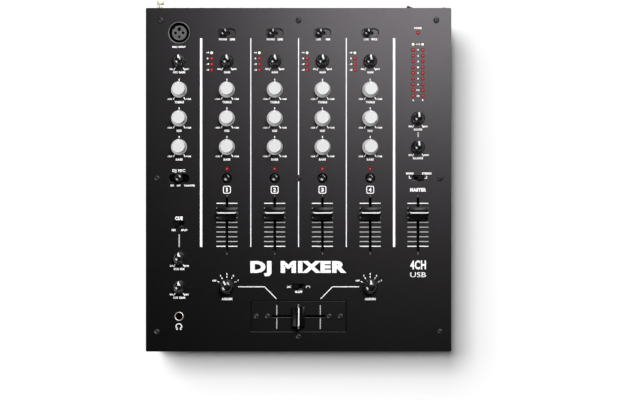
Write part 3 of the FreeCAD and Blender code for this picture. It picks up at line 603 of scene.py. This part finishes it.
    # faders
    for name in FADERS:
        x = spot(name)[0]
        for n, y in enumerate(FADER_MARKS):
            end = n in (0, 9)
            for side in (-1, 1):
                line(white if end else grey, x + side * 1.5, y, x + side * 11.0, y, THIN_LINE)
        for y in (FADER_SLOT + 30.4, FADER_SLOT - 30.4):
            grey.sheet(circle(x, y, 0.4, 16), [], PRINT_LOW, PRINT_HIGH, edge=0.001)
    end_marks, middle_marks = ((-131.2, -141.4), (-144.9, -156.4)), ((-130.6, -133.4), (-152.6, -156.2))
    for x, marks in ((-22.8, end_marks), (22.8, end_marks), (0, middle_marks)):
        for y1, y2 in marks:
            grey.slab(x, (y1 + y2) / 2, THIN_LINE, abs(y1 - y2), PLATE_TOP - 0.02, PLATE_TOP + 0.05)

    # crossfader assignment and curve
    for x, toward in ((CH1, 1), (CH4, -1)):
        y = SWITCH_ROW
        for angle in range(-60, 61, 30):
            ray(white, x, y, angle, 9.3, 11.3, TICK_WIDTH)
        for angle, number in ((-30, "1"), (0, "2"), (30, "3"), (60, "4")):
            s, c = math.sin(math.radians(angle)), math.cos(math.radians(angle))
            word(number, x + 13.3 * s, y + 13.3 * c, 0.8 if number == "1" else 1.4, 1.9)
        word("OFF", x - 13.2, y + 6.3, 4.2, 1.9)
        word("ASSIGN", x, -124.9, 11.2, 2.6)
        ends = [(x + toward * 11.5, -112.1), (toward * -35.6, -112.1), (toward * -23.1, -124.7)]
        for start, end in zip(ends, ends[1:]):
            line(white, *start, *end, 0.85)
    word("SLOPE", 0.1, -117.4, 7.2, 2.4)
    for x, side in ((-10.0, 1), (9.9, -1)):
        points = [(-2.0, 1.1), (-0.7, 0.4), (0.7, 0.4), (2.0, 1.1)]
        other = [(-2.0, -1.0), (-0.7, -0.3), (0.7, -0.3), (2.0, -1.0)]
        shapes = (points, other) if side == 1 else ([(-2.0, -1.0), (-1.4, 0.9), (1.4, 0.9), (2.0, -1.0)],)
        for shape in shapes:
            for (x1, y1), (x2, y2) in zip(shape, shape[1:]):
                line(white, x + x1, -112.2 + y1, x + x2, -112.2 + y2, 0.6)

    # headphone sign
    x, y = MIC - 0.3, -153.8
    arc = [(3.0 * math.cos(math.radians(a)), 3.0 * math.sin(math.radians(a))) for a in range(-45, 226, 18)]
    for (x1, y1), (x2, y2) in zip(arc, arc[1:]):
        line(white, x + x1, y + y1, x + x2, y + y2, 1.0)
    for side in (-1, 1):
        cup = rounded_rectangle(x + side * 2.0, y - 2.1, 1.5, 2.6, 0.6, 4)
        white.sheet(cup, [], PRINT_LOW, PRINT_HIGH, edge=0.001)

    # plain words in the two large places
    word("DJ MIXER", -0.2, -93.1, 100.5, 16.0, 0.6)
    word("4CH", MASTER + 0.2, -89.2, 16.4, 9.6, 0.35)
    word("USB", MASTER + 0.2, -99.4, 16.4, 5.2, 0.0)
    white.build("chassis", None)
    grey.build("chassis", None)


# ---- rotary knobs ----
KNOBS = {
    "tone": {"skirt": 8.3, "cap": 6.7, "body": WHITE, "mark": INK, "slot": "tone_knob"},
    "gain": {"skirt": 7.1, "cap": 4.75, "body": BLACK, "mark": INK, "slot": "black_knob"},
    "assign": {"skirt": 7.75, "cap": 6.0, "body": BLACK, "mark": INK, "slot": "black_knob"},
}


def make_knob(node, x, y, kind, turn=0.0):
    """A moulded knob with its skirt, groove, rim and raised pointer, on its shaft."""
    sizes = KNOBS[kind]
    skirt, cap = sizes["skirt"], sizes["cap"]
    low, high = TOP + 1.0, TOP + 13.0
    piece = Piece(node + "_look", sizes["body"], sizes["mark"], ZINC)
    waist = cap + 0.75
    side = [(0, low), (skirt - 0.3, low), (skirt, low + 0.4), (skirt, low + 1.3), (skirt - 0.55, low + 2.0)]
    side += [(waist + 0.25, low + 3.3), (waist - 0.05, low + 3.2), (waist - 0.1, low + 3.8)]
    if kind == "tone":
        side += [(cap + 0.2, high - 1.1), (cap - 0.15, high - 0.15), (cap - 0.55, high)]
        side += [(cap - 0.95, high - 0.4), (0, high - 0.3)]
    else:
        side += [(cap + 0.2, high - 2.6), (cap - 0.4, high - 1.7), (cap - 1.4, high - 0.95)]
        side += [(cap - 2.8, high - 0.35), (0, high - 0.05)]
    piece.lathe(softened(side, 0.35 if kind == "tone" else 0.6), count=64)
    piece.lathe([(0, TOP - 14), (3.0, TOP - 14), (3.0, low + 0.2), (0, low + 0.2)], mark=2, count=32)
    if kind == "tone":
        half_width = 0.8
        run = [(cap - 1.2, high - 0.1), (cap - 0.2, high), (cap + 0.75, high - 2.6), (skirt - 0.4, low + 3.1)]
        run.append((skirt, low + 1.2))
    else:
        half_width = 0.7
        inner = 1.6 if kind == "gain" else 2.4
        run = [(inner, high - 0.08), (cap - 0.3, high), (cap + 0.5, high - 2.2), (cap + 0.7, high - 4.0)]
    upper = softened(run, 0.8, 3)
    lower = [Vector((max(0.2, p[0] - 1.2), p[1] - 1.0)) for p in upper]
    loop = [tuple(p) for p in upper] + [tuple(p) for p in reversed(lower)]
    piece.across(loop, half_width, 1)
    if turn:
        piece.move(Matrix.Rotation(math.radians(turn), 4, "Z"))
    piece.build(node, sizes["slot"], node, at=(x, y, 0))


def make_knobs():
    """Every knob, its kind told by its name or its width."""
    for node in ROTARIES:
        x, y = spot(node)
        low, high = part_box(node)
        if node == "knob_assign_left":
            make_knob(node, CH1, SWITCH_ROW, "assign", 30.0)
        elif node == "knob_assign_right":
            make_knob(node, CH4, SWITCH_ROW, "assign")
        elif (high.x - low.x) / SCALE > 16:
            make_knob(node, x, y, "tone")
        else:
            make_knob(node, x, y, "gain")


# ---- faders ----
CAP_REACH = 10.1


def make_fader(node, x, y, turn):
    """A fader cap with hollow slopes and a white line on its ridge, and the lever under it."""
    base = TOP + 1.4
    piece = Piece(node + "_look", SATIN, INK, ZINC)
    half = [(6.75, base), (6.75, base + 2.8), (6.1, base + 4.1), (4.3, base + 4.2), (3.6, base + 4.45)]
    half += [(2.5, base + 6.2), (1.6, base + 9.0), (1.3, base + 11.2), (1.0, base + 11.35)]
    piece.across(half + [(-back, height) for back, height in reversed(half)], CAP_REACH)
    line = [(-CAP_REACH, 1.2), (-8.9, -0.6), (8.9, -0.6), (CAP_REACH, 1.2)]
    line += [(9.4, 1.2), (8.5, 0.6), (-8.5, 0.6), (-9.4, 1.2)]
    piece.rings([line, line], [base + 9.0, base + 11.45], 1)
    piece.box(0, 0, 1.2, 5.0, TOP - 6.0, base + 1.0, 2, radius=0.2, edge=0.1)
    if turn:
        piece.move(Matrix.Rotation(math.radians(turn), 4, "Z"))
    piece.build(node, "fader_cap", node, bevel=0.22, at=(x, y, 0))


def make_faders():
    for node in FADERS:
        make_fader(node, *spot(node), 0)
    make_fader("crossfader", *spot("crossfader"), 90)


# ---- switches ----
def make_toggle(node, x, y, tilt):
    """A toggle lever with its round bat, neck, ball and slot shutter, leaning to one side."""
    pivot = Vector((0, 0, TOP - 11.0))
    piece = Piece(node + "_look", BLACK, STEEL, PANEL)
    piece.box(0, 0, 6.6, 4.2, TOP - 3.6, TOP - 3.2, 2, radius=1.0, edge=0.1)
    low = TOP - 1.0
    bat = [(0, low), (2.2, low), (2.6, low + 1.0), (3.4, low + 4.0), (4.0, low + 6.4), (4.1, low + 7.6)]
    bat += [(3.6, low + 8.8), (2.4, low + 9.6), (1.2, low + 9.88), (0, low + 9.9)]
    piece.lathe(softened(bat, 0.9), count=40)
    ball = [(2.1 * math.sin(math.pi * n / 12), pivot.z - 2.1 * math.cos(math.pi * n / 12)) for n in range(13)]
    piece.lathe(ball, mark=1, count=24)
    piece.lathe([(0, pivot.z), (1.6, pivot.z), (1.6, low + 0.3), (0, low + 0.3)], mark=1, count=24)
    swing = Matrix.Rotation(math.radians(-tilt), 4, "Y")
    lean = Matrix.Translation(pivot) @ swing @ Matrix.Translation(-pivot)
    piece.move(lean)
    piece.build(node, "lever_plastic", node, at=(x, y, 0))


def make_switches():
    """Toggles with the plates they stand in, slide switches, and cue buttons."""
    for n, x in enumerate(CHANNELS):
        make_toggle(f"toggle_ch{n + 1}", x, SOURCE_ROW, 10.0)
    make_toggle("toggle_mic", MIC, MIC_TOGGLE_ROW, 0.0)
    # The channel plates wear the panel's paint; the mic plate gets the near-black painted shade.
    plates = Piece("toggle_plates", PANEL, PAINTED_SHADE_BLACK)
    for x, y in [(x, SOURCE_ROW) for x in CHANNELS] + [(MIC, MIC_TOGGLE_ROW)]:
        outline = rounded_rectangle(x, y, 23.0, 11.0, 0.8, 4)
        mark = 1 if y == MIC_TOGGLE_ROW else 0
        plates.sheet(outline, [oblong(x, y, 6.8, 3.8)], TOP - 2.6, TOP - 2.1, 0.1, mark)
    plates.build("chassis", None)
    for node in SLIDES:
        x, y = spot(node)[0], SLIDES[node][1]
        piece = Piece(node + "_look", SATIN)
        piece.box(x, y, 3.0, 2.0, TOP - 12.0, TOP - 3.5, edge=0.1)
        piece.box(x, y, 5.7, 4.4, TOP - 4.0, TOP + 1.8, radius=0.5, edge=0.3)
        for n in range(5):
            piece.box(x - 2.2 + 1.1 * n, y, 0.6, 4.2, TOP + 1.4, TOP + 2.35, radius=0.2, edge=0.15)
        piece.build(node, "lever_plastic", node)
    for node, x in CUE_BUTTONS.items():
        piece = Piece(node + "_look", BLACK, ZINC)
        low, high = TOP - 2.5, TOP + 3.4
        side = [(0, low), (3.7, low), (3.7, high - 0.9), (3.2, high - 0.15), (2.7, high), (2.1, high - 0.35)]
        side.append((0, high - 0.6))
        piece.lathe(softened(side, 0.5))
        piece.lathe([(0, low - 9), (1.5, low - 9), (1.5, low + 0.3), (0, low + 0.3)], mark=1, count=24)
        piece.build(node, "button_plastic", node, at=(x, CUE_ROW, 0))


# ---- lamps ----
def make_lamps():
    """Domed lamps on their legs; the red ones have a lip on the panel and a paler, glowing middle that is a
    painted highlight.
    """
    lamps = Piece("indicator_lenses", LAMP_RED, LAMP_PAINTED_HIGHLIGHT, LAMP_PALE, ZINC)
    angles = [math.pi * n / 16 for n in range(8)]
    dome = [(1.5 * math.cos(angle), TOP - 0.6 + 1.5 * math.sin(angle)) for angle in angles]
    side = [(0, TOP - 5), (1.9, TOP - 5), (1.9, TOP - 4), (1.5, TOP - 4), (1.5, TOP + 0.05)]
    side += [(2.0, TOP + 0.05), (1.95, TOP + 0.2), (1.47, TOP + 0.25)]
    # For the red lamps the middle is the painted highlight; the pale lamps' middle is their own lens.
    for rim, core, places in ((0, 1, RED_LAMPS), (2, 2, PALE_LAMPS)):
        for x, y in places:
            lamps.lathe(side[: 8 if rim == 0 else 4] + dome[3:6], x, y, rim, 24)
            lamps.lathe(dome[5:] + [(0, TOP + 0.9)], x, y, core, 24)
            for leg in (-1, 1):
                lamps.slab(x + leg * 1.27, y, 0.5, 0.5, TOP - 16, TOP - 4.5, 3)
    lamps.build("chassis", "lamp_lens", "indicator_lamps")


# ---- sockets on the panel ----
def make_panel_sockets():
    """The latching microphone socket and the headphone socket."""
    sockets = Piece("panel_connectors", SOCKET_RIM, GREY, PAINTED_SHADE_BLACK, BRASS)
    x, y = MIC, SOURCE_ROW
    floor = TOP - 24.0
    # Mark 2 is painted shade: the socket's inside, contact holes, catch and latch are near-black.
    sockets.lathe([(0, floor), (9.7, floor), (9.7, TOP - 0.2)], x, y, 2, 72)
    sockets.lathe([(9.7, TOP - 0.2), (9.9, TOP + 0.05), (10.6, TOP + 0.1)], x, y, 2, 72)
    ring = [(10.6, TOP + 0.1), (10.75, TOP + 0.4), (11.0, TOP + 0.5), (11.25, TOP + 0.45)]
    sockets.lathe(ring + [(11.5, TOP + 0.1), (11.5, TOP - 25.9), (0, TOP - 25.9)], x, y, 0, 72)
    top = TOP - 1.5
    contacts = [(-3.9, 0.0), (3.9, 0.0), (0.0, -4.1)]
    holes = [circle(x + dx, y + dy, 1.35, 20) for dx, dy in contacts]
    sockets.sheet(circle(x, y, 7.8, 56), holes, floor, top, 0.4, 1)
    for dx, dy in contacts:
        sockets.lathe([(0, TOP - 13), (1.34, TOP - 13), (1.34, top - 0.3)], x + dx, y + dy, 2, 20)
    catch = [(0, top - 1), (1.9, top - 1), (1.9, top + 0.25), (1.6, top + 0.45), (0, top + 0.45)]
    sockets.lathe(catch, x, y + 3.9, 2, 28)
    sockets.box(x - 6.0, y + 5.4, 3.0, 2.2, TOP - 3.0, TOP - 1.1, 2, radius=0.6, edge=0.3)
    x, y = MIC, CROSSFADER_ROW
    # The headphone bore and the block under it are painted shade too.
    sockets.lathe([(0, TOP - 18), (3.2, TOP - 18), (3.2, TOP - 0.8), (3.85, TOP + 0.8)], x, y, 2, 48)
    rim = [(3.85, TOP + 0.8), (3.95, TOP + 1.1), (4.15, TOP + 1.2), (4.4, TOP + 1.1), (4.6, TOP + 0.5)]
    barrel = [(4.65, TOP), (4.2, TOP), (4.2, TOP - 2.2), (4.2, TOP - 18.5), (0, TOP - 18.5)]
    sockets.lathe(rim + barrel, x, y, 3, 48)
    sockets.box(x, y, 16.0, 18.0, TOP - 26.0, TOP - 2.5, 2, radius=1.0)
    sockets.build("chassis", "socket_metal", "panel_sockets")


# ---- the rear ----
MOUNTS = {m["name"]: Vector(m["pos_m"]) / SCALE for m in frame["record"]["mounts"]}


def rear_spot(name):
    """A mount's place on the rear: across, and up from the floor."""
    return MOUNTS[name].x - MIDDLE_X, MOUNTS[name].z


def make_phono_sockets(piece):
    """Each phono socket: block, coloured collar, metal sleeve and insulator with its contact hole."""
    for name in sorted(n for n in MOUNTS if n.endswith("_contact")):
        x, z = rear_spot(name)
        colour = 3 if name.endswith("right_contact") else 4
        piece.box(x, z, 12.0, 13.0, -10.0, -1.5, 0, place=BACKWARDS)
        collar = [(0, -1.5), (4.35, -1.5), (4.35, 0), (5.3, 0), (5.3, 0.8), (4.9, 1.2), (0, 1.2)]
        piece.lathe(collar, x, z, colour, 36, BACKWARDS)
        tube = [(3.5, 0.5), (3.5, 8.75), (3.7, 9.0), (3.95, 9.0), (4.15, 8.8), (4.15, 0.5), (3.5, 0.5)]
        piece.lathe(tube, x, z, 1, 36, BACKWARDS)
        filling = [(0, 0.4), (1.7, 0.4), (1.7, 8.2), (1.9, 8.4), (3.49, 8.4), (3.49, 0.2), (0, 0.2)]
        piece.lathe(filling, x, z, colour, 36, BACKWARDS)


def make_line_outputs(piece):
    """The balanced outputs: a cast flange round a deep cup with three pins and a locating rib."""
    for name in ("output_left", "output_right"):
        x, z = rear_spot(name)
        holes = [circle(x, z, 11.0, 56)]
        holes += [circle(x + side * 9.5, z + side * 12.0, 1.7, 20) for side in (-1, 1)]
        piece.sheet(rounded_rectangle(x, z, 26.0, 31.0, 3.0), holes, 0.0, 2.0, 0.35, 0, BACKWARDS)
        cup = [(0, -16.0), (9.6, -16.0), (9.6, 1.6), (9.9, 1.95), (10.9, 1.95), (11.2, 1.6), (11.2, 0.5)]
        cup += [(11.7, 0.3), (11.7, -20.0), (0, -20.0)]
        piece.lathe(cup, x, z, 0, 56, BACKWARDS)
        piece.box(x, z - 9.0, 2.0, 1.4, -15.9, -1.0, 0, place=BACKWARDS)
        for dx, dz in ((-3.9, 0.8), (3.9, 0.8), (0.0, -4.1)):
            pin = [(0, -16.5), (1.2, -16.5), (1.2, -4.0), (0.9, -3.3), (0.4, -3.0), (0, -3.0)]
            piece.lathe(pin, x + dx, z + dz, 2, 20, BACKWARDS)


def make_rear_jack(piece):
    """The second microphone socket: threaded ferrule, hexagon nut and dark bore."""
    x, z = rear_spot("mic2_socket")
    piece.lathe([(0, -24.0), (3.2, -24.0), (3.2, 3.2)], x, z, 0, 40, BACKWARDS)
    rim = [(3.2, 3.2), (3.2, 3.7), (3.45, 4.0), (4.3, 4.0), (4.6, 3.7)]
    for n in range(3):
        rim += [(4.6, 3.5 - 0.35 * n), (4.4, 3.33 - 0.35 * n)]
    piece.lathe(rim + [(4.6, 2.4), (4.6, -1.5), (4.6, -25.0), (0, -25.0)], x, z, 1, 40, BACKWARDS)
    nut = [circle(x, z, radius, 6) for radius in (6.2, 6.5, 6.5, 6.1)]
    piece.rings(nut, [0.02, 0.3, 2.0, 2.4], 1, BACKWARDS)
    piece.box(x, z, 16.0, 16.0, -26.0, -1.6, 0, place=BACKWARDS)


def make_usb_socket(piece):
    """The square USB socket: folded metal shell and white tongue with four contacts."""
    x, z = rear_spot("usb_socket")
    shell = rounded_rectangle(x, z, 12.0, 11.0, 0.9, 4)
    room = rounded_rectangle(x, z, 10.8, 9.8, 0.5, 4)
    piece.sheet(shell, [room], -14.0, 0.6, 0.12, 1, BACKWARDS)
    piece.box(x, z, 11.9, 10.9, -16.0, -13.9, 0, place=BACKWARDS)
    piece.box(x, z, 5.6, 3.2, -14.0, -1.5, 4, radius=0.4, place=BACKWARDS)
    for dx in (-1.25, 1.25):
        for dz in (-1.55, 1.55):
            piece.box(x + dx, z + dz, 1.0, 0.3, -12.0, -2.2, 2, radius=0.1, edge=0.05, place=BACKWARDS)


def make_rear_sockets():
    """Every socket on the rear but the mains inlet."""
    sockets = Piece("rear_connectors", DARK, STEEL, BRASS, RED, IVORY)
    make_phono_sockets(sockets)
    make_line_outputs(sockets)
    make_rear_jack(sockets)
    make_usb_socket(sockets)
    sockets.build("chassis", "socket_plastic", "rear_sockets")


def rocker_place():
    """The middle of the mains rocker, across and up."""
    joint = next(j for j in frame["record"]["behaviour"]["joints"] if j["child"] == "power_rocker")
    place = Vector(joint["pos_m"]) / SCALE
    return place.x - MIDDLE_X, place.z


def make_power():
    """The mains inlet with its blades, the rocker's frame, and the rocker."""
    inlet = Piece("mains_inlet", DARK, STEEL)
    x, z = rear_spot("mains_inlet")
    room = rounded_rectangle(x, z, 24.2, 16.2, 2.6, 5)
    inlet.sheet(rounded_rectangle(x, z, 31.0, 24.0, 3.0), [room], 0.0, 2.0, 0.4, 0, BACKWARDS)
    inlet.sheet(rounded_rectangle(x, z, 27.0, 19.8, 2.0), [room], -17.0, 0.3, 0.1, 0, BACKWARDS)
    inlet.box(x, z, 26.8, 19.6, -20.0, -16.9, 0, radius=1.0, place=BACKWARDS)
    for dx, dz in ((-7.0, -2.0), (7.0, -2.0), (0.0, 2.0)):
        inlet.box(x + dx, z + dz, 2.0, 4.0, -17.5, -2.0, 1, radius=0.5, edge=0.45, place=BACKWARDS)
    x, z = rocker_place()
    window = rounded_rectangle(x, z, 18.4, 11.2, 0.6, 4)
    inlet.sheet(rounded_rectangle(x, z, 23.0, 16.0, 1.4), [window], 0.0, 1.6, 0.35, 0, BACKWARDS)
    inlet.sheet(rounded_rectangle(x, z, 20.0, 12.8, 0.6), [window], -6.0, 0.3, 0.1, 0, BACKWARDS)
    inlet.box(x, z, 19.9, 12.7, -18.0, -5.9, 0, place=BACKWARDS)
    inlet.build("chassis", "socket_plastic", "power_inlet")

    rocker = Piece("power_rocker_look", SATIN, INK)
    face = softened([(8.5, -3.0), (8.5, 4.2), (0.0, 2.6), (-8.5, 4.2), (-8.5, -3.0)], 0.9, 4)
    flat_back = Matrix(((1, 0, 0, 0), (0, 0, 1, 0), (0, 1, 0, 0), (0, 0, 0, 1)))
    sideways = Matrix(((0, 1, 0, 0), (0, 0, 1, 0), (1, 0, 0, 0), (0, 0, 0, 1)))
    rocker.across(face, 5.2, 0, sideways)
    slope = math.atan2(1.6, 8.5)
    for side in (-1, 1):
        tilt = Matrix.Translation((side * 4.6, 0, 3.47)) @ Matrix.Rotation(-side * slope, 4, "Y")
        if side > 0:
            rocker.box(0, 0, 0.7, 3.6, -0.15, 0.06, 1, radius=0.2, edge=0.03, place=flat_back @ tilt)
        else:
            ring = circle(0, 0, 1.9, 28)
            rocker.sheet(ring, [circle(0, 0, 1.3, 28)], -0.15, 0.06, 0.02, 1, flat_back @ tilt)
    rocker.move(Matrix.Rotation(math.radians(-10.0), 4, "Z"))
    rocker.build("power_rocker", "lever_plastic", "power_rocker", bevel=0.2, at=(x, REAR, z))


def knurled(x, y, radius, teeth=26, depth=0.28):
    """A circle with fine teeth."""
    points = []
    for n in range(teeth * 4):
        reach = radius - (depth if n % 4 in (2, 3) else 0.0)
        a = math.tau * n / (teeth * 4)
        points.append((x + reach * math.cos(a), y + reach * math.sin(a)))
    return points


def make_ground_terminal():
    """The threaded earth post with its washer and stepped knurled nut."""
    piece = Piece("earth_terminal", BRASS)
    x, z = rear_spot("ground_terminal")
    post = [(0, -9.5), (2.0, -9.5)]
    turn = 0.0
    while turn < 14.6:
        post += [(2.0, turn), (1.8, turn + 0.3)]
        turn += 0.6
    piece.lathe(post + [(1.7, 14.9), (1.2, 15.0), (0, 15.0)], x, z, 0, 28, BACKWARDS)
    piece.lathe([(0, 0.02), (4.6, 0.02), (4.6, 1.1), (4.3, 1.4), (0, 1.4)], x, z, 0, 36, BACKWARDS)
    for radius, low, high in ((3.1, 4.5, 10.1), (3.9, 10.2, 14.2)):
        inset, rim = circle(x, z, radius - 0.4, 104), knurled(x, z, radius)
        piece.rings([inset, rim, rim, inset], [low, low + 0.4, high - 0.4, high], 0, BACKWARDS)
    piece.build("chassis", "plated_brass", "ground_terminal")


def make_rear_marks():
    """The generic words printed beside the rear sockets."""
    print_ = Piece("rear_print", INK)

    def word(words, x, z, width, height):
        print_.text(words, -x, z, width, height, -0.02, 0.05, 0.3, 0, READ_BEHIND)

    columns = {}
    for name in MOUNTS:
        if name.endswith("_left_contact"):
            columns[name[: -len("_left_contact")]] = rear_spot(name)
    labels = {"record_out": "REC", "booth_out": "BOOTH", "master_out": "OUT"}
    for name, (x, z) in columns.items():
        words = labels.get(name, name.split("_")[0].upper())
        word(words, x, z + 9.6, min(10.0, 2.0 * len(words)), 2.0)
        if name in labels:
            continue
        word(name.split("_")[1].upper(), x, z + 13.0, 6.0, 2.0)
    x, z = rear_spot("ground_terminal")
    word("GND", x, z + 8.0, 6.4, 2.2)
    x, z = rear_spot("mic2_socket")
    word("MIC2", x, z + 10.0, 8.4, 2.2)
    for name, letter in (("output_left", "L"), ("output_right", "R")):
        x, z = rear_spot(name)
        word(letter, x, z + 18.6, 1.8, 2.4)
    x, z = rear_spot("usb_socket")
    word("USB", x, z + 8.8, 6.6, 2.2)
    print_.build("chassis", None)


dress_nodes()
make_panel()
make_marks()
make_knobs()
make_faders()
make_switches()
make_lamps()
make_panel_sockets()
make_rear_sockets()
make_power()
make_ground_terminal()
make_rear_marks()


# ---- floor, light and camera ----
def make_floor():
    """A wide sheet of pale paper."""
    form = bmesh.new()
    bmesh.ops.create_grid(form, x_segments=8, y_segments=8, size=12.0)
    mesh = bpy.data.meshes.new("floor")
    form.to_mesh(mesh)
    form.free()
    mesh.materials.append(surface("floor_paper", (0.86, 0.86, 0.86), 0.9, grain=40, relief=0.02, mottle=0.01))
    floor = bpy.data.objects.new("floor", mesh)
    bpy.context.scene.collection.objects.link(floor)
    return floor


def lamp(name, place, aim, size, power, receivers, include):
    """A soft square light, with the objects that it does or doesn't reach."""
    light = bpy.data.lights.new(name, "AREA")
    light.shape = "RECTANGLE"
    light.size, light.size_y = size
    light.energy = power
    holder = bpy.data.objects.new(name, light)
    bpy.context.scene.collection.objects.link(holder)
    holder.location = place
    holder.rotation_euler = (Vector(aim) - Vector(place)).to_track_quat("-Z", "Y").to_euler()
    group = bpy.data.collections.new(name + "_reach")
    for item in receivers:
        group.objects.link(item)
    holder.light_linking.receiver_collection = group
    for member in group.collection_objects:
        member.light_linking.link_state = "INCLUDE" if include else "EXCLUDE"


CEILING = 8.0
floor = make_floor()
dark_sheets = [bpy.data.objects["control_panel"], bpy.data.objects["crossfader_cover"]]
lamp("key", (0.387, 1.4455, 1.442), (0.387, 1.4455, 0.0), (0.744, 2.285), 48.0, [floor], False)
lamp("fill", (-1.15, -0.75, 1.2), (0.0, 0.0, 0.05), (0.9, 0.9), 24.0, [floor] + dark_sheets, False)
lamp("floor_near", (-1.0875, 0.6175, CEILING), (-1.0875, 0.6175, 0.0), (0.675, 0.675), 140.0, [floor], True)
lamp("floor_middle", (-2.1, 1.63, CEILING), (-2.1, 1.63, 0.0), (2.7, 2.7), 430.0, [floor], True)
lamp("floor_wide", (-3.45, 2.98, CEILING), (-3.45, 2.98, 0.0), (5.4, 5.4), 520.0, [floor], True)

world = bpy.data.worlds.new("studio")
world.use_nodes = True
tree = world.node_tree
place = tree.nodes.new("ShaderNodeTexCoord")
split = tree.nodes.new("ShaderNodeSeparateXYZ")
tree.links.new(place.outputs["Generated"], split.inputs["Vector"])
fade = tree.nodes.new("ShaderNodeMapRange")
fade.interpolation_type = "SMOOTHSTEP"
fade.inputs["From Min"].default_value = 0.12
fade.inputs["From Max"].default_value = 0.6
fade.inputs["To Min"].default_value = 0.42
fade.inputs["To Max"].default_value = 0.004
tree.links.new(split.outputs["Z"], fade.inputs["Value"])
tree.links.new(fade.outputs["Result"], tree.nodes["Background"].inputs["Strength"])
tree.nodes["Background"].inputs["Color"].default_value = (0.96, 0.98, 1.0, 1)
bpy.context.scene.world = world
bpy.context.scene.view_settings.view_transform = "Standard"

EYE = (-20.5, -105.0, 1300.0)
camera = bpy.data.cameras.new("camera")
camera.sensor_width = 36.0
camera.lens = 69.84
camera.shift_x = 0.0641
camera.shift_y = 0.125
viewer = bpy.data.objects.new("camera", camera)
bpy.context.scene.collection.objects.link(viewer)
viewer.location = ((MIDDLE_X + EYE[0]) * SCALE, (MIDDLE_Y + EYE[1]) * SCALE, (TOP + EYE[2]) * SCALE)
bpy.context.scene.camera = viewer
